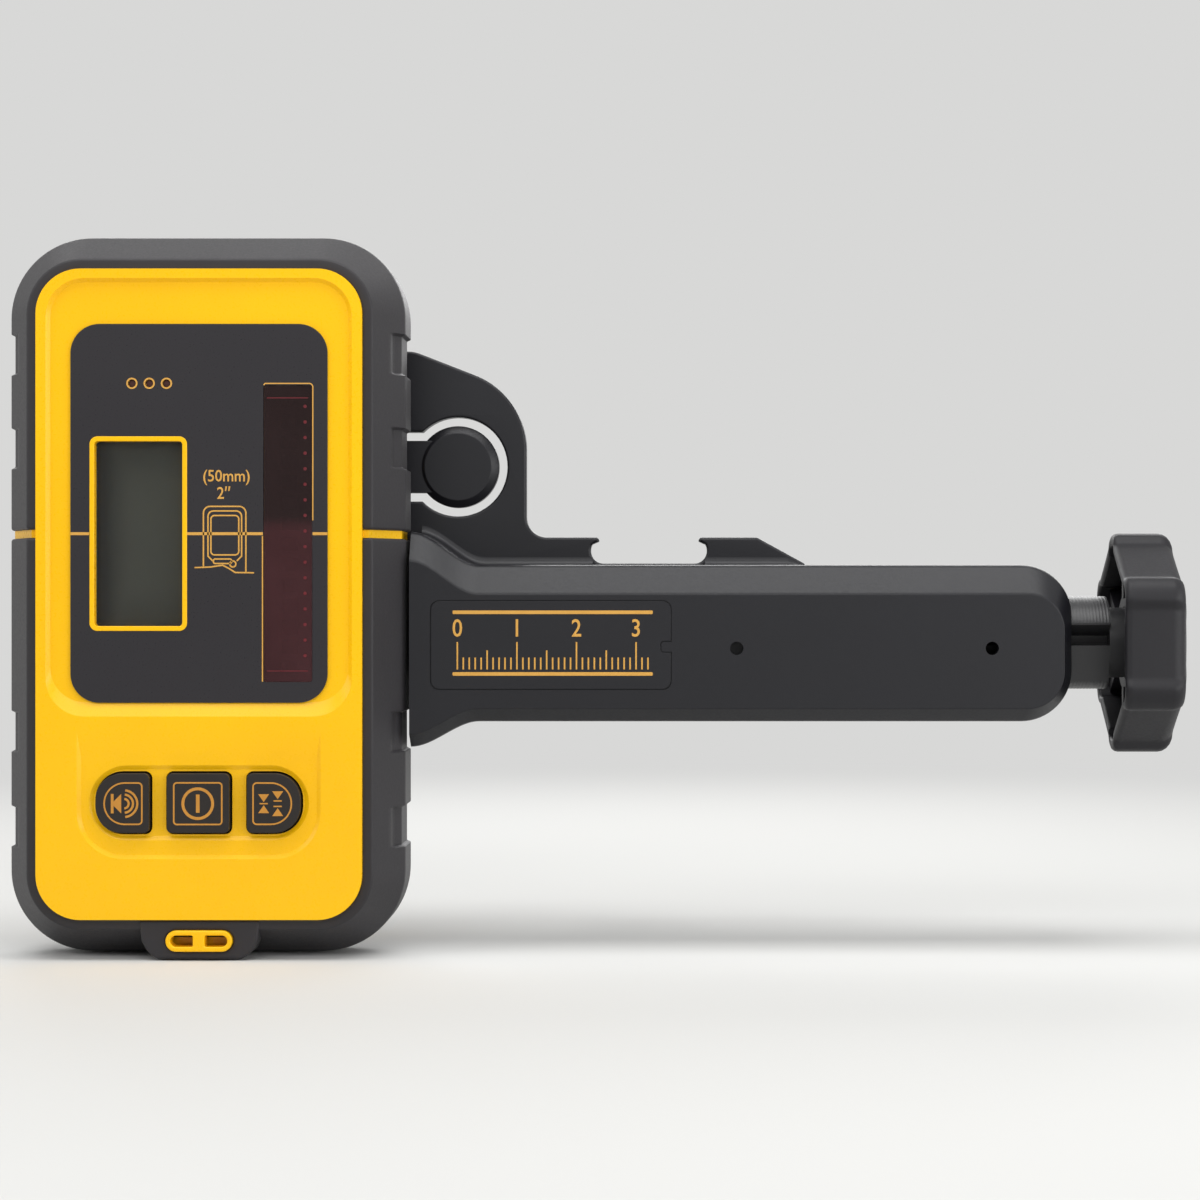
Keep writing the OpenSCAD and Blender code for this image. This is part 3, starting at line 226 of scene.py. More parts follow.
# clear cast acrylic: all but invisible, with a clean gloss
def clearFinish(name, look):
    finish, tree, surface = newFinish(name, look["shader"])
    place = addNode(tree, "ShaderNodeTexCoord")
    haze = addNode(tree, "ShaderNodeTexNoise", {"Scale": 1 / (look["hazeMm"] * mm), "Detail": 3.0},
                   {"Vector": place.outputs["Object"]})
    matt = addNode(tree, "ShaderNodeMapRange", {"To Min": look["smooth"], "To Max": look["rough"]},
                   {"Value": haze.outputs["Fac"]})
    tree.links.new(matt.outputs["Result"], surface.inputs["Roughness"])
    return finish


clearAcrylic = clearFinish("clearAcrylic", {
    "hazeMm": 6, "smooth": 0.03, "rough": 0.08,
    "shader": {"Base Color": linear("#7c8080"), "IOR": 1.49, "Alpha": 0.06}})


# dyed acrylic over the detector: dark red, redder below the grade line where the board lies closer
def windowFinish(name, look):
    finish, tree, surface = newFinish(name, look["shader"])
    place = addNode(tree, "ShaderNodeTexCoord")
    apart = addNode(tree, "ShaderNodeSeparateXYZ", {}, {"Vector": place.outputs["Object"]})
    level = addNode(tree, "ShaderNodeMapRange",
                    {"interpolation_type": "SMOOTHSTEP", "From Min": at(0, 0, look["from"]).z,
                     "From Max": at(0, 0, look["to"]).z}, {"Value": apart.outputs["Z"]})
    cloud = addNode(tree, "ShaderNodeTexNoise", {"Scale": 1 / (look["cloudMm"] * mm), "Detail": 2.0},
                    {"Vector": place.outputs["Object"]})
    tone = addNode(tree, "ShaderNodeMix",
                   {"data_type": "RGBA", 6: linear(look["low"]), 7: linear(look["high"])},
                   {0: level.outputs["Result"]})
    deep = addNode(tree, "ShaderNodeMix",
                   {"data_type": "RGBA", "blend_type": "MULTIPLY", 7: linear(look["cloudTint"])},
                   {0: cloud.outputs["Fac"], 6: tone.outputs[2]})
    tree.links.new(deep.outputs[2], surface.inputs["Base Color"])
    return finish


redAcrylic = windowFinish("redAcrylic", {
    "low": "#4a2b2e", "high": "#2e2020", "from": 0.2, "to": 3.2, "cloudMm": 9, "cloudTint": "#c8bcbc",
    "shader": {"IOR": 1.49, "Roughness": 0.16, "Specular IOR Level": 0.2, "Alpha": 0.82}})
print("finishes made")

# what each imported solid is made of, how round its edges are in mm, and from what angle an edge is rounded
solidLooks = {
    "front_case": (yellowAbs, 0.45, 12.5), "rear_case": (yellowAbs, 0.35), "lcd_frame": (yellowAbs, 0.12),
    "lanyard_loop": (yellowAbs, 0.25), "case_seal": (softSeal, 0.1), "door_seal": (softSeal, 0.08),
    "case_screws": (zincSteel, 0.12), "face_panel": (panelFilm, 0.08), "lcd_lens": (clearAcrylic, 0.1),
    "lcd_glass": (displayCell, 0.1), "detector_window": (redAcrylic, 0.1), "key_mat": (softSeal, 0.05),
    "detector_board": (fibreBoard, 0.05), "photodiodes": (blackPolymer, 0.1), "main_board": (fibreBoard, 0.1),
    "board_parts": (blackPolymer, 0.15), "buzzer": (blackPolymer, 0.3), "key_domes": (zincSteel, 0.05),
    "sound_key": (siliconeKeys, 0.5), "power_key": (siliconeKeys, 0.5), "accuracy_key": (siliconeKeys, 0.5),
    "battery": (batterySleeve, 0.3), "battery_snap": (blackPolymer, 0.2), "door_pin": (zincSteel, 0.15),
    "latch_tab": (blackNylon, 0.35), "latch_catch": (blackNylon, 0.15), "fixed_jaw_pad": (blackRubber, 0.15),
    "moving_jaw": (blackNylon, 0.4), "moving_jaw_pad": (blackRubber, 0.15), "screw_clip": (zincSteel, 0.1),
    "knob_screw": (zincSteel, 0.15),
}


def roundEdges(piece, radius, fromDeg=32):
    weld = piece.modifiers.new("weld", "WELD")
    weld.merge_threshold = 0.004 * mm
    flat = piece.modifiers.new("flat", "DECIMATE")
    flat.decimate_type = "DISSOLVE"
    flat.angle_limit = math.radians(0.8)
    if radius:
        edges = piece.modifiers.new("edges", "BEVEL")
        edges.width = radius * mm
        edges.segments = 3
        edges.limit_method = "ANGLE"
        edges.angle_limit = math.radians(fromDeg)
        edges.miter_outer = "MITER_ARC"
        edges.use_clamp_overlap = True
        edges.harden_normals = True
    even = piece.modifiers.new("even", "WEIGHTED_NORMAL")
    even.keep_sharp = True


for name, (finish, *edge) in solidLooks.items():
    solid = nodes[name]
    solid.data.materials.clear()
    solid.data.materials.append(finish)
    if "custom_normal" in solid.data.attributes:
        solid.data.attributes.remove(solid.data.attributes["custom_normal"])
    solid.data.shade_smooth()
    roundEdges(solid, *edge)
print("solids dressed")


# pieces drawn here are lofted, filled or carved in mm from the on-grade point
def placePiece(name, mesh, finish, body, slot, stands=(), creaseDeg=38):
    work = bmesh.new()
    work.from_mesh(mesh)
    bmesh.ops.remove_doubles(work, verts=work.verts, dist=0.003 * mm)
    bmesh.ops.recalc_face_normals(work, faces=work.faces)
    work.to_mesh(mesh)
    work.free()
    mesh.shade_smooth()
    mesh.set_sharp_from_angle(angle=math.radians(creaseDeg))
    mesh.materials.clear()
    mesh.materials.append(finish)
    piece = bpy.data.objects.new(name, mesh)
    bpy.context.collection.objects.link(piece)
    even = piece.modifiers.new("even", "WEIGHTED_NORMAL")
    even.keep_sharp = True
    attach(piece, body)
    if stands:
        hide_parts(*stands)


def loft(rings, closed=False):
    count = len(rings[0])
    points = [at(*p) for ring in rings for p in ring]
    faces = []
    for r in range(len(rings) - (0 if closed else 1)):
        low, high = r * count, (r + 1) % len(rings) * count
        for i in range(count):
            j = (i + 1) % count
            faces.append((low + i, low + j, high + j, high + i))
    if not closed:
        faces.append(tuple(range(count)))
        faces.append(tuple(range(len(points) - count, len(points))))
    mesh = bpy.data.meshes.new("loft")
    mesh.from_pydata(points, [], faces)
    return mesh


def filleted(corners, steps=6):
    loop = []
    for i, (u, v, radius) in enumerate(corners):
        here = Vector((u, v))
        back = (Vector(corners[i - 1][:2]) - here).normalized()
        ahead = (Vector(corners[(i + 1) % len(corners)][:2]) - here).normalized()
        half = back.angle(ahead) / 2
        if radius <= 0 or half > 1.55:
            loop.append((u, v))
            continue
        middle = here + (back + ahead).normalized() * radius / math.sin(half)
        first = here + back * radius / math.tan(half) - middle
        last = here + ahead * radius / math.tan(half) - middle
        start = math.atan2(first.y, first.x)
        turn = (math.atan2(last.y, last.x) - start + math.pi) % math.tau - math.pi
        for s in range(steps + 1):
            angle = start + turn * s / steps
            loop.append((middle.x + radius * math.cos(angle), middle.y + radius * math.sin(angle)))
    return loop


def arc(u, v, radius, startDeg, endDeg, steps=24):
    return [(u + radius * math.cos(math.radians(startDeg + (endDeg - startDeg) * s / steps)),
             v + radius * math.sin(math.radians(startDeg + (endDeg - startDeg) * s / steps)))
            for s in range(steps + 1)]


# a soft step from nought to one
def eased(u):
    u = min(max(u, 0), 1)
    return u * u * (3 - 2 * u)


# a flat moulding with rounded edges: loops are (u, v) in mm, lay puts a point (u, depth, v) in place
def slab(loops, near, far, edge, lay):
    outline = bpy.data.curves.new("outline", "CURVE")
    outline.dimensions = "2D"
    outline.fill_mode = "BOTH"
    outline.extrude = (far - near) / 2 - edge
    outline.bevel_depth = edge
    outline.bevel_resolution = 2
    outline.offset = -edge
    for loop in loops:
        line = outline.splines.new("POLY")
        line.points.add(len(loop) - 1)
        for point, (u, v) in zip(line.points, loop):
            point.co = (u, v, 0, 1)
        line.use_cyclic_u = True
    holder = bpy.data.objects.new("outline", outline)
    bpy.context.collection.objects.link(holder)
    mesh = bpy.data.meshes.new_from_object(holder)
    bpy.data.objects.remove(holder)
    bpy.data.curves.remove(outline)
    for vertex in mesh.vertices:
        vertex.co = at(*lay(vertex.co.x, (near + far) / 2 + vertex.co.z, vertex.co.y))
    return mesh


def facing(u, depth, v):
    return u, depth, v


def lying(u, depth, v):
    return u, v, depth


def endOn(u, depth, v):
    return depth, u, v


def block(x0, x1, y0, y1, z0, z1):
    return loft([[(x0, y0, z), (x1, y0, z), (x1, y1, z), (x0, y1, z)] for z in (z0, z1)])


def roundRect(u, v, wide, high, radius, steps=6):
    return filleted([(u - wide / 2, v - high / 2, radius), (u - wide / 2, v + high / 2, radius),
                     (u + wide / 2, v + high / 2, radius), (u + wide / 2, v - high / 2, radius)], steps)


def prism(loop, y0, y1):
    return loft([[(u, y, v) for u, v in loop] for y in (y0, y1)])


# a point of a form turned about an axis along x
def around(axis, x, radius, angle):
    return x, axis["y"] + radius * math.cos(angle), axis["z"] + radius * math.sin(angle)


def outward(mesh):
    work = bmesh.new()
    work.from_mesh(mesh)
    bmesh.ops.recalc_face_normals(work, faces=work.faces)
    work.to_mesh(mesh)
    work.free()
    return mesh


def carve(mesh, cutters):
    body = bpy.data.objects.new("body", outward(mesh))
    bpy.context.collection.objects.link(body)
    tools = []
    for cutter in cutters:
        tool = bpy.data.objects.new("tool", outward(cutter))
        bpy.context.collection.objects.link(tool)
        cut = body.modifiers.new("cut", "BOOLEAN")
        cut.operation = "DIFFERENCE"
        cut.solver = "EXACT"
        cut.object = tool
        tools.append(tool)
    bpy.context.view_layer.update()
    result = bpy.data.meshes.new_from_object(body.evaluated_get(bpy.context.evaluated_depsgraph_get()))
    for spare in tools + [body]:
        bpy.data.objects.remove(spare)
    return result


def joined(meshes):
    work = bmesh.new()
    for mesh in meshes:
        work.from_mesh(mesh)
    result = bpy.data.meshes.new("joined")
    work.to_mesh(result)
    work.free()
    return result


# clamp frame: one nylon moulding of sliding plate, arm, fixed jaw and rails
armLook = {"root": 33.9, "end": 145.7, "top": -5.0, "low": -31.5, "front": -5.0, "back": 17.36,
           "bevelDeep": 3.6, "bevelTop": 4.9, "bevelLow": 2.3, "bevelEnd": 1.7, "endRound": 8.6,
           "frontRound": 6.2, "flareUp": 5.6, "flareDown": 4.3, "flareLong": 11.5}
boltLine = {"y": 6.3, "z": -18.25}
frameNylon = (blackNylon, "clamp", "clamp_plastic", ["clamp_frame"])


def armOutline(look, share, inset=0.0):
    top = look["top"] - look["bevelTop"] * share - inset
    low = look["low"] + look["bevelLow"] * share + inset
    end = look["end"] - look["bevelEnd"] * share - inset
    radius = look["endRound"] + (look["frontRound"] - look["endRound"]) * share
    flare = []
    for s in range(25):
        rise = 1 - eased(s / 24)
        flare.append((look["root"] + look["flareLong"] * s / 24, look["flareUp"] * rise,
                      look["flareDown"] * rise))
    loop = [(x, top + up) for x, up, down in flare]
    loop += arc(end - radius, top - radius, radius, 90, 0, 16)
    loop += arc(end - radius, low + radius, radius, 0, -90, 16)
    loop += [(x, low - down) for x, up, down in reversed(flare)]
    return loop


# rings from the back to the front: share of the bevel, inset of the back edge, and depth
def armMesh(look):
    edge = look["front"] + look["bevelDeep"]
    deep = look["bevelDeep"]
    stations = [(0, 0.5, look["back"]), (0, 0.15, look["back"] - 0.15), (0, 0, look["back"] - 0.5),
                (0, 0, edge + 1.0), (0.01, 0, edge + 0.45), (0.045, 0, edge + 0.05),
                (0.11, 0, edge - 0.11 * deep), (0.93, 0, edge - 0.93 * deep), (0.975, 0, edge - 0.967 * deep),
                (1.0, 0, edge - 0.985 * deep), (1.035, 0, edge - 0.998 * deep), (1.06, 0, look["front"])]
    rings = [[(x, y, z) for x, z in armOutline(look, share, inset)] for share, inset, y in stations]
    return loft(rings)


# label seat: a shallow recess with a small tongue in its right edge that keys the label
labelLook = {"x": 57.7, "z": -18.5, "wide": 40.6, "high": 15.1, "round": 1.5, "deep": 0.35,
             "tongueLong": 1.75, "tongueHigh": 1.65, "tongueZ": -18.8, "tongueRound": 0.5, "tongueRoot": 0.1,
             "fit": 0.15, "proud": 0.05, "edge": 0.06}


def labelLoop(look, inset):
    halfWide, halfHigh = look["wide"] / 2 - inset, look["high"] / 2 - inset
    left, right = look["x"] - halfWide, look["x"] + halfWide
    low, top = look["z"] - halfHigh, look["z"] + halfHigh
    tip = look["x"] + look["wide"] / 2 - look["tongueLong"] - inset
    half = look["tongueHigh"] / 2 + inset
    over, under = look["tongueZ"] + half, look["tongueZ"] - half
    return filleted([(left, low, look["round"]), (left, top, look["round"]), (right, top, look["round"]),
                     (right, over, look["tongueRoot"]), (tip, over, look["tongueRound"]),
                     (tip, under, look["tongueRound"]), (right, under, look["tongueRoot"]),
                     (right, low, look["round"])])


# hollows as x, y and z spans: the carriage bay, the root pocket, the jaw's way in and the slot it slides in
hollowLook = {"bays": [(46.9, 136.5, -2.4, 15.0, -29.1, -7.4), (36.4, 44.5, -2.4, 18.4, -29.1, -7.4),
                       (60.0, 76.0, -2.3, 18.4, -29.0, -7.5), (70.0, 136.4, -2.2, 18.4, -24.6, -11.9)],
              "bore": 8.06, "boreRun": (135.5, 147.0), "pinX": (88.9, 131.8), "pinZ": -19.05,
              "pinRound": 1.12, "pinFloor": -1.9, "before": -6.0}
armCuts = [prism(labelLoop(labelLook, 0), hollowLook["before"], armLook["front"] + labelLook["deep"])]
armCuts += [block(*bay) for bay in hollowLook["bays"]]
armCuts.append(loft([[around(boltLine, x, hollowLook["bore"], math.radians(6 * s)) for s in range(60)]
                     for x in hollowLook["boreRun"]]))
armCuts += [prism(arc(x, hollowLook["pinZ"], hollowLook["pinRound"], 0, 348, 29), hollowLook["before"],
                  hollowLook["pinFloor"]) for x in hollowLook["pinX"]]
placePiece("clampArm", carve(armMesh(armLook), armCuts), *frameNylon)
placePiece("labelPlate", slab([labelLoop(labelLook, labelLook["fit"])], armLook["front"] + labelLook["proud"],
                              armLook["front"] + labelLook["deep"], labelLook["edge"], facing),
           blackNylon, "clamp", "panel_film", ["label_plate"])
print("arm carved")

plateLook = {"near": 13.9, "far": 17.4, "edge": 0.45, "left": -21.8, "low": -24.0, "top": 32.5, "right": 52.6,
             "shoulder": (33.0, 32.5), "crown": (38.6, 15.3), "crownRound": 14.0, "readEnd": 92.9,
             "slopeEnd": (101.3, -4.6), "notchMid": (74.0, -2.3), "notchLong": 20.3, "notchRound": 2.25,
             "pad": (40.65, 12.33), "padSlot": 8.65, "neckSlot": 6.05, "neckLeft": -6.75, "cornerRound": 1.5,
             "shoulderRound": 6.0, "innerRound": 3.6, "tipRound": 0.55, "tipIn": 1.35, "tipRun": 1.7,
             "armRun": (35.9, -6.6)}


def plateLoops(look):
    crown = Vector(look["crown"])
    shoulder = Vector(look["shoulder"])
    reach = shoulder - crown
    touch = math.degrees(math.atan2(reach.y, reach.x) - math.acos(look["crownRound"] / reach.length))
    shoulderRun = filleted([(0.0, look["low"], 0), (look["left"], look["low"], look["cornerRound"]),
                            (look["left"], look["top"], look["cornerRound"]),
                            (shoulder.x, shoulder.y, look["shoulderRound"]),
                            (crown.x + look["crownRound"] * math.cos(math.radians(touch)),
                             crown.y + look["crownRound"] * math.sin(math.radians(touch)), 0)], 10)
    outer = shoulderRun + arc(crown.x, crown.y, look["crownRound"], touch, 0, 24)[1:]
    outer += arc(look["right"] + look["innerRound"], look["innerRound"], look["innerRound"], 180, 270, 12)
    midX, midZ = look["notchMid"]
    half = look["notchLong"] / 2 - look["notchRound"]
    tip, tipIn, tipRun = look["tipRound"], look["tipIn"], look["tipRun"]
    outer += [(midX - half - tipRun, 0.0)] + arc(midX - half - tipIn, -tip, tip, 90, -20, 6)
    outer += arc(midX - half, midZ, look["notchRound"], 152, 270, 14)
    outer += arc(midX + half, midZ, look["notchRound"], -90, 28, 14)
    outer += arc(midX + half + tipIn, -tip, tip, 200, 90, 6) + [(midX + half + tipRun, 0.0)]
    armX, armZ = look["armRun"]
    # the first and last points only give their neighbours' corners a direction
    outer += filleted([(midX + half + 2.5, 0.0, 0), (look["readEnd"], 0.0, 1.2), (*look["slopeEnd"], 0.6),
                       (look["slopeEnd"][0], armZ, 0), (armX, armZ, 0), (armX, look["low"], 1.0),
                       (30.0, look["low"], 0)])
    padX, padZ = look["pad"]
    meet = math.degrees(math.asin(look["neckSlot"] / look["padSlot"]))
    slot = [(look["neckLeft"], padZ - look["neckSlot"])]
    slot += arc(padX, padZ, look["padSlot"], -180 + meet, 180 - meet, 48)
    slot += [(look["neckLeft"], padZ + look["neckSlot"])]
    return [outer, slot]


placePiece("clampPlate", slab(plateLoops(plateLook), plateLook["near"], plateLook["far"],
                              plateLook["edge"], facing), *frameNylon)

# soft cove where the plate runs into the top of the arm, broken by the reading notch
coveLook = {"round": 1.55, "sink": 0.6, "runs": [(34.4, 64.2, 0.0), (83.8, 101.2, 3.2)]}


def coveTop(x):
    return armLook["top"] + armLook["flareUp"] * (1 - eased((x - armLook["root"]) / armLook["flareLong"]))


for number, (start, stop, taper) in enumerate(coveLook["runs"]):
    rings = []
    for s in range(41):
        x = start + (stop - start) * s / 40
        radius = coveLook["round"] * (min(1, (stop - x) / taper + 0.06) if taper else 1)
        top, face, sink = coveTop(x), plateLook["near"], coveLook["sink"]
        ring = [(x, face + sink, top - sink), (x, face + sink, top + radius)]
        for step in range(9):
            turn = math.radians(90 * step / 8)
            ring.append((x, face - radius + radius * math.cos(turn), top + radius - radius * math.sin(turn)))
        ring.append((x, face - radius, top - sink))
        rings.append(ring)
    placePiece(f"clampCove{number + 1}", loft(rings), *frameNylon)

# fixed jaw: its side as distance behind the gripping face, depth and corner radius
jawLook = {"face": 56.8, "half": 12.25, "edge": 0.5,
           "side": [(0, 16.4, 0), (0, 41.0, 0.6), (2.8, 41.0, 0.8), (4.3, 39.5, 0.8), (10.3, 23.9, 3.0),
                    (12.3, 19.4, 1.5), (12.3, 16.4, 0)]}
jawLoop = filleted([(jawLook["face"] - behind, depth, radius) for behind, depth, radius in jawLook["side"]])
placePiece("clampJaw", slab([jawLoop], boltLine["z"] - jawLook["half"], boltLine["z"] + jawLook["half"],
                            jawLook["edge"], lying), *frameNylon)

# two T-rails on the plate: one half of the section as depth, half height and corner radius
railLook = {"left": -19.8, "right": 31.2, "levels": (25.0, -20.0), "edge": 0.15,
            "half": [(10.2, 3.0, 0.4), (12.0, 3.0, 0.2), (12.0, 1.5, 0.2), (14.4, 1.5, 0)]}
railMeshes = []
for level in railLook["levels"]:
    upper = [(depth, level + high, radius) for depth, high, radius in railLook["half"]]
    lower = [(depth, level - high, radius) for depth, high, radius in railLook["half"]]
    loop = filleted(lower[:1] + upper + lower[:0:-1], 3)
    railMeshes.append(slab([loop], railLook["left"], railLook["right"], railLook["edge"], endOn))
placePiece("clampRails", joined(railMeshes), *frameNylon)
print("clamp frame drawn")

# rubber bumpers: one profile swept round the yellow face, pressed in at the finger grips
bumperLook = {"faceHalf": (26.9, 53.7), "midZ": -10.0, "faceRound": 7.4, "split": 0.675, "endRound": 0.49,
              "lips": (-9.9, 11), "lipRound": 0.1, "lipWide": 0.3, "lipCorner": 12.2, "longest": 0.9,
              "grips": (30.25, 14.5, -33.0, -48.95), "gripHigh": 6.6, "gripDeep": 0.65, "gripSoft": 0.22,
              "gripFrom": 4.35, "gripFade": 0.45, "gripDepths": (-10, 11)}
# its section as distance out from the yellow face's edge, depth and corner radius
bumperProfile = filleted([(0, -12.5, 0.12), (1.65, -12.5, 0.5), (6.3, -3.7, 2.0), (6.3, 6.4, 2.0),
                          (1.65, 12.5, 0.7), (0, 12.5, 0.25), (0, 7.5, 0), (3.9, 7.5, 0), (3.9, -5, 0),
                          (1.7, -5, 0), (1.7, -10, 0), (0, -10, 0)], 5)


def finerLoop(loop, longest):
    fine = []
    for i, (u, v) in enumerate(loop):
        nextU, nextV = loop[(i + 1) % len(loop)]
        parts = max(1, math.ceil(math.hypot(nextU - u, nextV - v) / longest))
        fine += [(u + (nextU - u) * s / parts, v + (nextV - v) * s / parts) for s in range(parts)]
    return fine


def bumperStations(look, upper):
    halfX, halfZ = look["faceHalf"]
    sign = 1 if upper else -1
    cornerX = halfX - look["faceRound"]
    cornerZ = look["midZ"] + sign * (halfZ - look["faceRound"])
    soft = look["gripSoft"]
    levels = {look["split"] + look["endRound"] * (1 - math.cos(math.radians(90 * s / 4))) for s in range(5)}
    for grip in look["grips"]:
        if (grip > 0) == upper:
            for end in (abs(grip) - look["gripHigh"] / 2, abs(grip) + look["gripHigh"] / 2):
                levels |= {end + soft * k for k in (-1.6, -1, -0.5, 0, 0.5, 1, 1.6)}
    levels |= {abs(cornerZ) * s / 18 for s in range(1, 18)}
    levels = sorted(z for z in levels if look["split"] <= z < abs(cornerZ) - 0.05)
    side = [((-halfX, sign * z), (-1, 0)) for z in levels]
    for s in range(25):
        angle = math.radians(180 - 90 * s / 24)
        normal = (math.cos(angle), sign * math.sin(angle))
        spot = (-cornerX + look["faceRound"] * normal[0], cornerZ + look["faceRound"] * normal[1])
        side.append((spot, normal))
    mirror = [((-x, z), (-nx, nz)) for (x, z), (nx, nz) in reversed(side)]
    return side + mirror


# the profile set at each station, dented at the grips and drawn in at the two ends
def bumperMesh(look, upper):
    profile = finerLoop(bumperProfile, look["longest"])
    frontLip, backLip = look["lips"]
    gripNear, gripFar = look["gripDepths"]
    count = len(profile)
    slopes = []
    for i in range(count):
        du = profile[(i + 1) % count][0] - profile[i - 1][0]
        dv = profile[(i + 1) % count][1] - profile[i - 1][1]
        size = math.hypot(du, dv) or 1
        slopes.append((dv / size, -du / size))
    rings = []
    for (x, z), (nx, nz) in bumperStations(look, upper):
        press = 0.0
        shrink = 0.0
        if abs(nz) < 1e-6:
            for grip in look["grips"]:
                if (grip > 0) == upper:
                    inside = look["gripHigh"] / 2 - abs(z - grip)
                    press = max(press, look["gripDeep"] * eased(inside / (2 * look["gripSoft"]) + 0.5))
            gap = abs(z) - look["split"]
            if gap < look["endRound"]:
                shrink = look["endRound"] - math.sqrt(look["endRound"] ** 2 - (look["endRound"] - gap) ** 2)
        ring = []
        for (d, y), (du, dv) in zip(profile, slopes):
            gripped = gripNear < y < gripFar and du > 0.2
            move = press * eased((d - look["gripFrom"]) / look["gripFade"]) if gripped else 0
            if d > 0 or y < frontLip or y > backLip:
                move += shrink
            if d == 0 and -look["lipCorner"] < y < 0:
                du, dv = -1, 0
            atCorner = d < look["lipWide"] and abs(y) > look["lipCorner"]
            tuck = min(move, look["lipRound"]) if atCorner else move
            out = d - du * tuck + (move - tuck)
            deep = y - dv * tuck - math.copysign(move - tuck, y)
            ring.append((x + nx * out, deep, z + nz * out))
        rings.append(ring)
    return loft(rings)


for name, upper in (("bumperUpper", True), ("bumperLower", False)):
    placePiece(name, bumperMesh(bumperLook, upper), blackRubber, "receiver", "bumper_rubber",
               ["upper_bumper" if upper else "lower_bumper"], 30)

# lanyard boss under the lower bumper, with a yellow floor in its slot
bossLook = {"near": -12.75, "far": -4.5, "edge": 0.45, "loopZ": -67.2, "loopHalf": 3.9, "loopRound": 1.62}
bossOuter = filleted([(-10.0, -63.8, 0), (10.0, -63.8, 0), (9.6, -67.4, 1.2), (8.6, -69.1, 1.2),
                      (7.0, -70.3, 1.2), (-7.0, -70.3, 1.2), (-8.6, -69.1, 1.2), (-9.6, -67.4, 1.2)], 5)
bossHole = arc(bossLook["loopHalf"], bossLook["loopZ"], bossLook["loopRound"], -90, 90, 12)
bossHole += arc(-bossLook["loopHalf"], bossLook["loopZ"], bossLook["loopRound"], 90, 270, 12)
bossMesh = slab([bossOuter, bossHole], bossLook["near"], bossLook["far"], bossLook["edge"], facing)
placePiece("bumperLanyardBoss", bossMesh, blackRubber, "receiver", "bumper_rubber", ["lower_bumper"])
linerLook = {"near": -9.4, "far": -8.4, "edge": 0.1}
placePiece("lanyardLiner", slab([bossHole], linerLook["near"], linerLook["far"], linerLook["edge"], facing),
           yellowAbs, "receiver", "case_plastic")
print("bumpers swept")

# battery door: flat nylon lid with a hinge barrel below and four finger grooves at the top
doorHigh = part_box("battery_door")[1]
doorLook = {"half": (doorHigh.x - gradeX) / mm, "top": (doorHigh.z - gradeZ) / mm, "foot": -58.1,
            "near": 11.5, "far": 13.5, "edge": 0.3, "corner": 0.6, "hinge": {"y": 12.0, "z": -60.6},
            "barrelHalf": 15.0, "barrelRound": 1.5, "barrelEdge": 0.2, "grooves": 4, "grooveStep": 2.0,
            "grooveDrop": 2.9, "grooveLong": 18.0, "grooveHigh": 1.0, "grooveRound": 0.45,
            "grooveFloor": 13.0}


def doorMesh(look):
    half, foot, top, corner = look["half"], look["foot"], look["top"], look["corner"]
    long, radius, edge = look["barrelHalf"], look["barrelRound"], look["barrelEdge"]
    loop = filleted([(-half, foot, corner), (-half, top, corner), (half, top, corner), (half, foot, corner),
                     (long, foot, 0), (long, look["hinge"]["z"], 0), (-long, look["hinge"]["z"], 0),
                     (-long, foot, 0)], 4)
    grooves = [prism(roundRect(0, top - look["grooveDrop"] - look["grooveStep"] * i, look["grooveLong"],
                               look["grooveHigh"], look["grooveRound"]), look["grooveFloor"], look["far"] + 1)
               for i in range(look["grooves"])]
    lid = carve(slab([loop], look["near"], look["far"], look["edge"], facing), grooves)
    ends = ((-long, radius - edge), (edge - long, radius), (long - edge, radius), (long, radius - edge))
    barrel = loft([[around(look["hinge"], x, r, math.tau * s / 40) for s in range(40)] for x, r in ends])
    return joined([lid, barrel])


placePiece("batteryDoor", doorMesh(doorLook), blackNylon, "door", "door_plastic", ["battery_door"])
print("battery door drawn")

# hand knob: hollow nylon cup, a hexagon with six round lobes and a shallow thumb dish in each flat
knobLook = {"rim": 153.5, "face": 163.7, "flat": 16.85, "lobeRound": 4.5, "dish": 0.6, "dishHalf": 6.6,
            "dishSoft": 1.3, "wall": 2.2, "floor": 160.7, "hub": 8.6, "hubRim": 155.8, "hubEdge": 0.4,
            "bore": 6.0, "boreLead": 0.25, "crown": 164.9, "crownRound": 7.8,
            "crownSteps": (0.3, 0.6, 0.85, 1.0), "faceInset": 2.5, "faceRise": 0.02, "screwWell": 4.6,
            "wellFloor": 161.9, "screwHole": 1.6, "lobes": 6, "steps": 288, "web": (7.6, 17.4),
            "webHalf": 0.8, "webDrop": 2.0, "webSink": 0.3}


def knobRadius(look, angle):
    pitch = math.tau / look["lobes"]
    half = pitch / 2
    fromLobe = abs((angle - math.pi / 2 + half) % pitch - half)
    fromFlat = half - fromLobe
    middle = (look["flat"] - look["lobeRound"]) / math.cos(half)
    along = look["flat"] * math.tan(fromFlat)
    if along > (look["flat"] - look["lobeRound"]) * math.tan(half):
        aside = middle * math.sin(fromLobe)
        return middle * math.cos(fromLobe) + math.sqrt(look["lobeRound"] ** 2 - aside ** 2)
    dish = look["dish"] * eased((look["dishHalf"] - along) / look["dishSoft"] + 0.5)
    return (look["flat"] - dish) / math.cos(fromFlat)


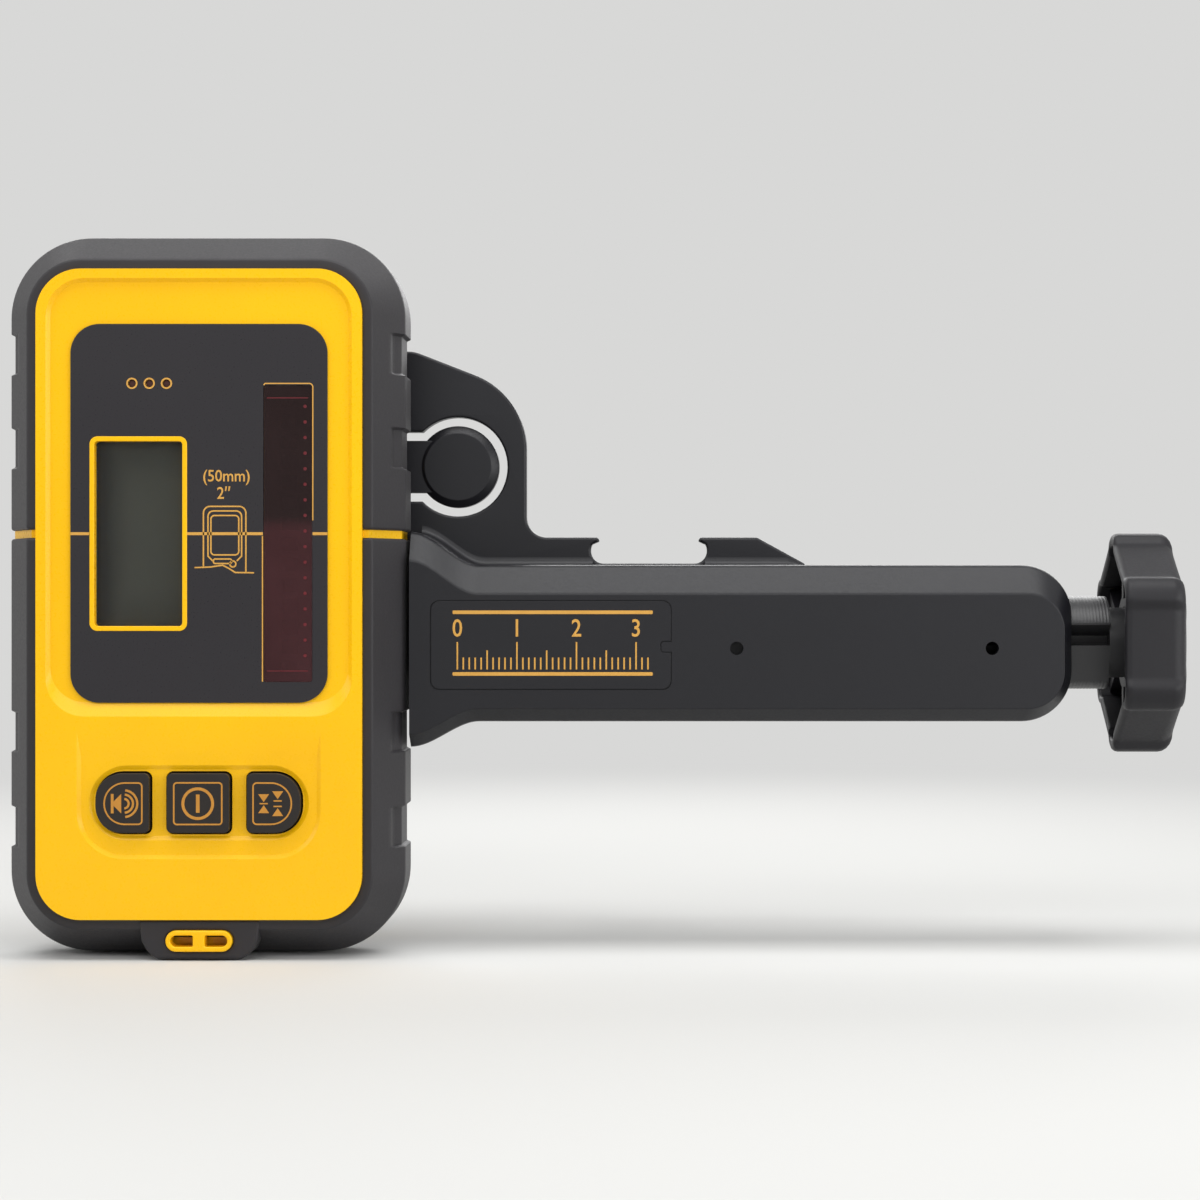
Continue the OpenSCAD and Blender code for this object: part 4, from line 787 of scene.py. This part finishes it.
# one skin from the bore round the hub, the cup's floor, the wall, the rim and the face to the screw's well
def knobMesh(look):
    angles = [math.tau * s / look["steps"] for s in range(look["steps"])]
    outline = [knobRadius(look, a) for a in angles]
    rim, face, wall, floor = look["rim"], look["face"], look["wall"], look["floor"]
    hub, hubRim, hubEdge, bore, lead = (look[key] for key in ("hub", "hubRim", "hubEdge", "bore", "boreLead"))
    crown, well = look["crown"], look["screwWell"]
    top = face + look["faceRise"]
    hubRings = [(hubRim + 4, bore), (hubRim + lead, bore), (hubRim, bore + lead), (hubRim, hub - hubEdge),
                (hubRim + hubEdge, hub), (floor - hubEdge, hub), (floor, hub + hubEdge)]
    wallRings = [(floor, wall + 0.35), (floor - 0.35, wall), (rim + 0.5, wall), (rim + 0.12, wall - 0.25),
                 (rim, wall - 0.6), (rim, 0.95), (rim + 0.18, 0.42), (rim + 0.55, 0.12), (rim + 1.1, 0.0),
                 (face - 2.3, 0.0), (face - 1.55, 0.14), (face - 0.85, 0.55), (face - 0.35, 1.15),
                 (face - 0.08, 1.8), (top, look["faceInset"])]
    wellRings = [(crown, well + 0.4), (crown - 0.3, well), (look["wellFloor"], well),
                 (look["wellFloor"], look["screwHole"])]
    rings = [[around(boltLine, x, r, a) for a in angles] for x, r in hubRings]
    rings += [[around(boltLine, x, r - inset, a) for a, r in zip(angles, outline)] for x, inset in wallRings]
    for share in look["crownSteps"]:
        x = top + (crown - face - 0.1) * math.sin(math.radians(90 * share))
        radii = [(r - look["faceInset"]) * (1 - share) + look["crownRound"] * share for r in outline]
        rings.append([around(boltLine, x, r, a) for a, r in zip(angles, radii)])
    rings += [[around(boltLine, x, r, a) for a in angles] for x, r in wellRings]
    return loft(rings)


def knobWebs(look):
    webs = []
    near, far = look["web"]
    half = look["webHalf"]
    for i in range(look["lobes"]):
        turn = math.radians(90 + i * 360 / look["lobes"])
        along = (math.cos(turn), math.sin(turn))
        corners = [(boltLine["y"] + r * along[0] - w * along[1], boltLine["z"] + r * along[1] + w * along[0])
                   for r, w in ((near, -half), (far, -half), (far, half), (near, half))]
        webs.append(loft([[(x, y, z) for y, z in corners]
                          for x in (look["rim"] + look["webDrop"], look["floor"] + look["webSink"])]))
    return webs


placePiece("handKnob", joined([knobMesh(knobLook)] + knobWebs(knobLook)), gripNylon, "knob", "clamp_plastic",
           ["clamp_knob"], 42)

# clamp screw: two-start thread, 4 mm lead, relieved by two flats; the shank by the knob is only finely ribbed
screwLook = {"start": 98.4, "threadEnd": 143.6, "end": 152.4, "radius": 8.0, "threadDeep": 0.7, "lead": 4.0,
             "starts": 2, "threadRings": 260, "ribDeep": 0.04, "ribMm": 0.55, "ribRings": 84,
             "shankDrop": 0.05, "flatDeg": 195, "flatAt": 5.95, "keyway": (-0.4, 2.9), "keywayAt": 2.6,
             "steps": 180, "tipStart": 88.4, "tipRadius": 4.0, "spigot": 6.0, "spigotEnd": 160.2}


def screwMesh(look):
    angles = [math.tau * s / look["steps"] for s in range(look["steps"])]
    rings = []

    def ring(x, radii):
        rings.append([around(boltLine, x, r, a) for a, r in zip(angles, radii)])

    def relieved(radii):
        cut = []
        for a, r in zip(angles, radii):
            for side in (0, 180):
                lean = math.cos(a - math.radians(look["flatDeg"] + side))
                if lean > 0.1:
                    r = min(r, look["flatAt"] / lean)
                    low, high = look["keyway"]
                    if low < r * math.sin(a - math.radians(side)) < high:
                        r = min(r, look["keywayAt"] / lean)
            cut.append(r)
        return cut

    ring(look["tipStart"], [look["tipRadius"]] * look["steps"])
    ring(look["start"], [look["tipRadius"]] * look["steps"])
    for s in range(look["threadRings"] + 1):
        x = look["start"] + (look["threadEnd"] - look["start"]) * s / look["threadRings"]
        radii = []
        for a in angles:
            phase = ((x - look["lead"] * a / math.tau) / look["lead"] * look["starts"]) % 1
            tooth = min(max((0.5 - abs(phase - 0.5)) * 4 - 0.5, 0), 1)
            radii.append(look["radius"] - look["threadDeep"] * (1 - tooth))
        ring(x, relieved(radii))
    for s in range(1, look["ribRings"] + 1):
        x = look["threadEnd"] + (look["end"] - look["threadEnd"]) * s / look["ribRings"]
        rib = look["ribDeep"] * (0.5 + 0.5 * math.cos(math.tau * x / look["ribMm"]))
        ring(x, relieved([look["radius"] - look["shankDrop"] - rib] * look["steps"]))
    ring(look["end"], [look["spigot"]] * look["steps"])
    ring(look["spigotEnd"], [look["spigot"]] * look["steps"])
    return loft(rings)


placePiece("clampScrewThread", screwMesh(screwLook), blackPolymer, "knob", "screw_plastic",
           ["clamp_screw"], 30)
print("knob and screw turned")

# screen-printed marks: thin ink films lying on the panel, the key tops and the label
inkLook = {"under": 0.03, "over": 0.05, "capShare": 0.72, "half": 0.04, "fatten": 0.012, "lift": 0.01}


def stroke(path, wide, closed=False):
    count = len(path)
    left, right = [], []
    for i, (u, v) in enumerate(path):
        here = Vector((u, v))
        back = Vector(path[i - 1]) if closed or i else here
        ahead = Vector(path[(i + 1) % count]) if closed or i < count - 1 else here
        first = (here - back).normalized() if back != here else (ahead - here).normalized()
        second = (ahead - here).normalized() if ahead != here else first
        across = Vector((-first.y - second.y, first.x + second.x)).normalized()
        reach = wide / 2 / max(0.4, across.dot(Vector((-first.y, first.x))))
        left.append(tuple(here + across * reach))
        right.append(tuple(here - across * reach))
    return [left, right] if closed else [left + right[::-1]]


def bar(u0, u1, v0, v1):
    return [[(u0, v0), (u1, v0), (u1, v1), (u0, v1)]]


def inkFilm(groups, face):
    return joined([slab(loops, face - inkLook["under"], face + inkLook["over"], 0, facing)
                   for loops in groups])


def figures(text, high, u, v, squeeze, face):
    lettering = bpy.data.curves.new("figures", "FONT")
    lettering.body = text
    lettering.size = high / inkLook["capShare"]
    lettering.align_x = "CENTER"
    lettering.align_y = "CENTER"
    lettering.extrude = inkLook["half"]
    lettering.resolution_u = 3
    lettering.offset = inkLook["fatten"] * high
    holder = bpy.data.objects.new("figures", lettering)
    bpy.context.collection.objects.link(holder)
    mesh = bpy.data.meshes.new_from_object(holder)
    bpy.data.objects.remove(holder)
    bpy.data.curves.remove(lettering)
    for vertex in mesh.vertices:
        vertex.co = at(u + vertex.co.x * squeeze, face + inkLook["lift"] + vertex.co.z, v + vertex.co.y)
    return mesh


# panel: the grade line in three runs, rings round the sound ports, the offset figures and a pictogram
panelMarks = {"face": -13.2, "lineHalf": 0.24, "runs": [(-21.2, -18.1), (-1.95, 10.55), (18.75, 21.2)],
              "thin": 0.24, "fine": 0.2, "ports": (-11.05, -8.2, -5.35), "portZ": 24.8,
              "portRings": (0.93, 0.66),
              "figures": [("(50mm)", 1.95, 4.55, 9.45, 0.92), ("2″", 2.0, 4.12, 6.6, 0.9)]}
marks = [bar(left, right, -panelMarks["lineHalf"], panelMarks["lineHalf"])
         for left, right in panelMarks["runs"]]
marks += [[arc(x, panelMarks["portZ"], radius, 0, 352, 44) for radius in panelMarks["portRings"]]
          for x in panelMarks["ports"]]
pictogram = [
    ([(-0.7, -5.6), (1.9, -5.5), (3.9, -5.2), (4.9, -5.7), (6.0, -6.4), (9.1, -6.45)], False),
    ([(0.75, -5.45)] + filleted([(0.75, -5.4, 0), (0.75, 4.5, 1.1), (7.75, 4.5, 1.1), (7.75, -5.4, 0)])[1:-1]
     + [(7.75, -6.3)], False),
    ([(2.3, -4.5), (1.5, -3.7)]
     + filleted([(1.5, -3.6, 0), (1.5, 3.75, 0.9), (7.05, 3.75, 0.9), (7.05, -3.6, 0)])[1:-1]
     + [(7.05, -3.7), (6.25, -4.5)], False),
    (roundRect(4.28, -0.25, 4.6, 6.5, 0.6), True),
    (roundRect(3.9, -4.55, 3.0, 0.75, 0.3), True),
    (arc(5.6, -5.0, 0.5, 0, 345, 23), True),
]
marks += [stroke(path, panelMarks["thin"], closed) for path, closed in pictogram]
windowLines = [filleted([(10.75, 24.5, 0), (10.75, 24.78, 0.25), (18.79, 24.78, 0.6), (18.79, 2.2, 0)]),
               [(10.49, -0.4), (10.49, -24.4)]]
marks += [stroke(path, panelMarks["fine"]) for path in windowLines]
panelPrint = [inkFilm(marks, panelMarks["face"])]
panelPrint += [figures(*figure, panelMarks["face"]) for figure in panelMarks["figures"]]
placePiece("panelPrint", joined(panelPrint), panelInk, "receiver", "panel_film")

# key tops: a sound cone with three waves, a power ring and two pairs of grade arrows, each in an outline
keyMarks = {"face": -14.3, "z": -44.45, "line": 0.26, "outlineHalf": 3.4, "outlineFar": 15.4,
            "nearRound": 0.6, "farRound": 3.35, "waves": (0.78, 1.5, 2.2), "waveLine": 0.36, "ring": 2.45,
            "ringLine": 0.48, "arrows": [(10.85, 0.14), (13.15, 0.62)], "arrow": (0.9, 0.12, 1.42),
            "dash": (0.68, 0.11, 0.17)}
keyZ = keyMarks["z"]


def keyOutline(look, near, far):
    low, high = look["z"] - look["outlineHalf"], look["z"] + look["outlineHalf"]
    small, large = look["nearRound"], look["farRound"]
    return stroke(filleted([(near, low, small), (near, high, small), (far, high, large), (far, low, large)],
                           10), look["line"], True)


soundMarks = [keyOutline(keyMarks, -9.2, -keyMarks["outlineFar"]),
              [[(-14.3, keyZ - 1.6), (-13.85, keyZ - 1.6), (-13.85, keyZ - 0.35), (-12.6, keyZ - 1.6),
                (-12.6, keyZ + 1.6), (-13.85, keyZ + 0.35), (-13.85, keyZ + 1.6), (-14.3, keyZ + 1.6)]]]
soundMarks += [stroke(arc(-12.15, keyZ, radius, -84, 84, 20), keyMarks["waveLine"])
               for radius in keyMarks["waves"]]
powerMarks = [stroke(roundRect(0, keyZ, 7.9, 6.85, 0.5), keyMarks["line"], True),
              stroke(arc(0, keyZ, keyMarks["ring"], 0, 354, 59), keyMarks["ringLine"], True),
              bar(-0.3, 0.3, keyZ - 1.5, keyZ + 1.5)]
gradeMarks = [keyOutline(keyMarks, 9.1, keyMarks["outlineFar"])]
half, tip, base = keyMarks["arrow"]
dashHalf, dashThick, dashIn = keyMarks["dash"]
for u, gap in keyMarks["arrows"]:
    gradeMarks += [[[(u - half, keyZ + side * (gap + base)), (u + half, keyZ + side * (gap + base)),
                     (u, keyZ + side * (gap + tip))]] for side in (-1, 1)]
    dashes = [-1, 1] if gap > dashIn else [0]
    gradeMarks += [bar(u - dashHalf, u + dashHalf, keyZ + side * (gap - dashIn) - dashThick,
                       keyZ + side * (gap - dashIn) + dashThick) for side in dashes]
for name, groups, body in (("soundKeyPrint", soundMarks, "left_key"),
                           ("powerKeyPrint", powerMarks, "middle_key"),
                           ("accuracyKeyPrint", gradeMarks, "right_key")):
    placePiece(name, inkFilm(groups, keyMarks["face"]), keyInk, body, "key_rubber")

# the label carries a plain centimetre scale between two bars
scaleLook = {"face": -4.95, "start": 42.0, "long": 32, "base": -22.6, "ticks": {1: 2.0, 5: 3.2, 10: 4.6},
             "half": 0.13, "bars": (-0.75, 9.6), "barOver": 1.6, "barHigh": 0.6, "figures": "0123",
             "figureHigh": 3.0, "figureUp": 6.8, "squeeze": 0.85}
scaleMarks = []
for step in range(scaleLook["long"] + 1):
    high = max(tall for every, tall in scaleLook["ticks"].items() if step % every == 0)
    u = scaleLook["start"] + step
    scaleMarks.append(bar(u - scaleLook["half"], u + scaleLook["half"], scaleLook["base"],
                          scaleLook["base"] + high))
for up in scaleLook["bars"]:
    scaleMarks.append([roundRect(scaleLook["start"] + scaleLook["long"] / 2, scaleLook["base"] + up,
                                 scaleLook["long"] + scaleLook["barOver"], scaleLook["barHigh"], 0.15, 2)])
labelPrint = [inkFilm(scaleMarks, scaleLook["face"])]
for number, figure in enumerate(scaleLook["figures"]):
    labelPrint.append(figures(figure, scaleLook["figureHigh"], scaleLook["start"] + 10 * number,
                              scaleLook["base"] + scaleLook["figureUp"], scaleLook["squeeze"],
                              scaleLook["face"]))
placePiece("labelScale", joined(labelPrint), panelInk, "clamp", "panel_film")

# faint red index row and end lines on the detector window
rowLook = {"face": -13.1, "x": 17.5, "top": 21.0, "pitch": 2.57, "count": 17, "radius": 0.28,
           "ends": (22.4, -22.65), "span": (11.2, 18.0), "lineHigh": 0.16}
rowMarks = [[arc(rowLook["x"], rowLook["top"] - rowLook["pitch"] * i, rowLook["radius"], 0, 345, 23)]
            for i in range(rowLook["count"])]
rowMarks += [[roundRect(sum(rowLook["span"]) / 2, z, rowLook["span"][1] - rowLook["span"][0],
                        rowLook["lineHigh"], 0.05, 2)] for z in rowLook["ends"]]
placePiece("windowMarks", inkFilm(rowMarks, rowLook["face"]), redInk, "receiver", "red_filter")

# gauze discs that close the sound ports just under the panel, coloured as painted shade for the deep ports
gauzeLook = {"near": -12.75, "far": -12.2, "radius": 0.62, "edge": 0.05}
gauzeLoops = [[arc(x, panelMarks["portZ"], gauzeLook["radius"], 0, 350, 35)] for x in panelMarks["ports"]]
gauzeDiscs = [slab(loop, gauzeLook["near"], gauzeLook["far"], gauzeLook["edge"], facing)
              for loop in gauzeLoops]
placePiece("portGauze", joined(gauzeDiscs), portShadeGauze, "receiver", "seal_rubber")
print("marks printed")

# pale paper floor under soft light, open on all sides so that the back can be seen as well
studio = {"paper": "#d2d2d0", "floorDropMm": 0.2, "radiusMm": 4000, "sides": 64, "air": "#d8d8d7",
          "airFill": 0.3, "fadeFromMm": 190, "fadeToMm": 520}


# one where a ray is seen, mirrored or let through, and nought where it only carries soft light
def seenDirectly(tree):
    ray = addNode(tree, "ShaderNodeLightPath")
    mirrored = addNode(tree, "ShaderNodeMath", {"operation": "MAXIMUM"},
                       {0: ray.outputs["Is Camera Ray"], 1: ray.outputs["Is Glossy Ray"]})
    return addNode(tree, "ShaderNodeMath", {"operation": "MAXIMUM"},
                   {0: mirrored.outputs[0], 1: ray.outputs["Is Transmission Ray"]}).outputs[0]


def makeFloor(look):
    floorZ = cadBox[0].z - look["floorDropMm"] * mm
    rim = [math.tau * i / look["sides"] for i in range(look["sides"])]
    points = [(look["radiusMm"] * mm * math.cos(a), look["radiusMm"] * mm * math.sin(a), floorZ) for a in rim]
    mesh = bpy.data.meshes.new("paperFloor")
    mesh.from_pydata(points, [], [tuple(range(look["sides"]))])
    paper = bpy.data.objects.new("paperFloor", mesh)
    bpy.context.collection.objects.link(paper)
    finish, tree, surface = newFinish("paintedPaper", {"Roughness": 0.9, "Base Color": linear(look["paper"])})
    place = addNode(tree, "ShaderNodeTexCoord")
    away = addNode(tree, "ShaderNodeVectorMath", {"operation": "LENGTH"}, {0: place.outputs["Object"]})
    far = addNode(tree, "ShaderNodeMapRange",
                  {"interpolation_type": "SMOOTHSTEP", "From Min": look["fadeFromMm"] * mm,
                   "From Max": look["fadeToMm"] * mm}, {"Value": away.outputs["Value"]})
    share = addNode(tree, "ShaderNodeMath", {"operation": "MULTIPLY"},
                    {0: far.outputs["Result"], 1: seenDirectly(tree)})
    pale = addNode(tree, "ShaderNodeEmission", {"Color": linear(look["air"])})
    both = addNode(tree, "ShaderNodeMixShader", {},
                   {0: share.outputs[0], 1: surface.outputs[0], 2: pale.outputs[0]})
    tree.links.new(both.outputs[0], tree.nodes["Material Output"].inputs["Surface"])
    mesh.materials.append(finish)


makeFloor(studio)
lamps = {
    "keyLamp": {"place": (10, -420, 265), "aim": (30, 0, 0), "sizeMm": (420, 130), "watts": 0.7},
    "sideLamp": {"place": (-480, -260, 210), "aim": (0, 0, 20), "sizeMm": (360, 320), "watts": 0.75},
    "fillLamp": {"place": (440, -400, 40), "aim": (60, 0, 0), "sizeMm": (420, 120), "watts": 0.7},
    "topLamp": {"place": (60, -120, 470), "aim": (60, 0, 0), "sizeMm": (700, 260), "watts": 2.4},
    "backLamp": {"place": (60, 520, 260), "aim": (40, 0, 0), "sizeMm": (600, 320), "watts": 2.2},
    "edgeLamp": {"place": (560, -160, 90), "aim": (80, 0, -10), "sizeMm": (280, 300), "watts": 0.7},
}
for name, lamp in lamps.items():
    light = bpy.data.lights.new(name, "AREA")
    light.shape = "RECTANGLE"
    light.size, light.size_y = [side * mm for side in lamp["sizeMm"]]
    light.energy = lamp["watts"]
    holder = bpy.data.objects.new(name, light)
    bpy.context.collection.objects.link(holder)
    holder.location = at(*lamp["place"])
    holder.rotation_euler = (at(*lamp["aim"]) - holder.location).to_track_quat("-Z", "Y").to_euler()

# the air around is pale where it is seen or mirrored, and dimmer where it only fills the shadows
world = bpy.data.worlds.new("studioAir")
bpy.context.scene.world = world
world.use_nodes = True
air = world.node_tree
level = addNode(air, "ShaderNodeMapRange", {"To Min": studio["airFill"], "To Max": 1.0},
                {"Value": seenDirectly(air)})
air.nodes["Background"].inputs["Color"].default_value = linear(studio["air"])
air.links.new(level.outputs["Result"], air.nodes["Background"].inputs["Strength"])

# camera at the photograph's distance, 475 mm before the case's middle, square on, frame shifted to the left
view = {"place": (77.7, -475, -10.94), "lens": 84.0, "sensor": 36, "near": 0.01, "shift": -70 / 1200}
lens = bpy.data.cameras.new("frontView")
lens.lens = view["lens"]
lens.sensor_width = view["sensor"]
lens.clip_start = view["near"]
lens.shift_x = view["shift"]
eye = bpy.data.objects.new("frontView", lens)
bpy.context.collection.objects.link(eye)
eye.location = at(*view["place"])
eye.rotation_euler = (math.radians(90), 0, 0)
bpy.context.scene.camera = eye
bpy.context.scene.view_settings.view_transform = "Standard"
print("studio set")
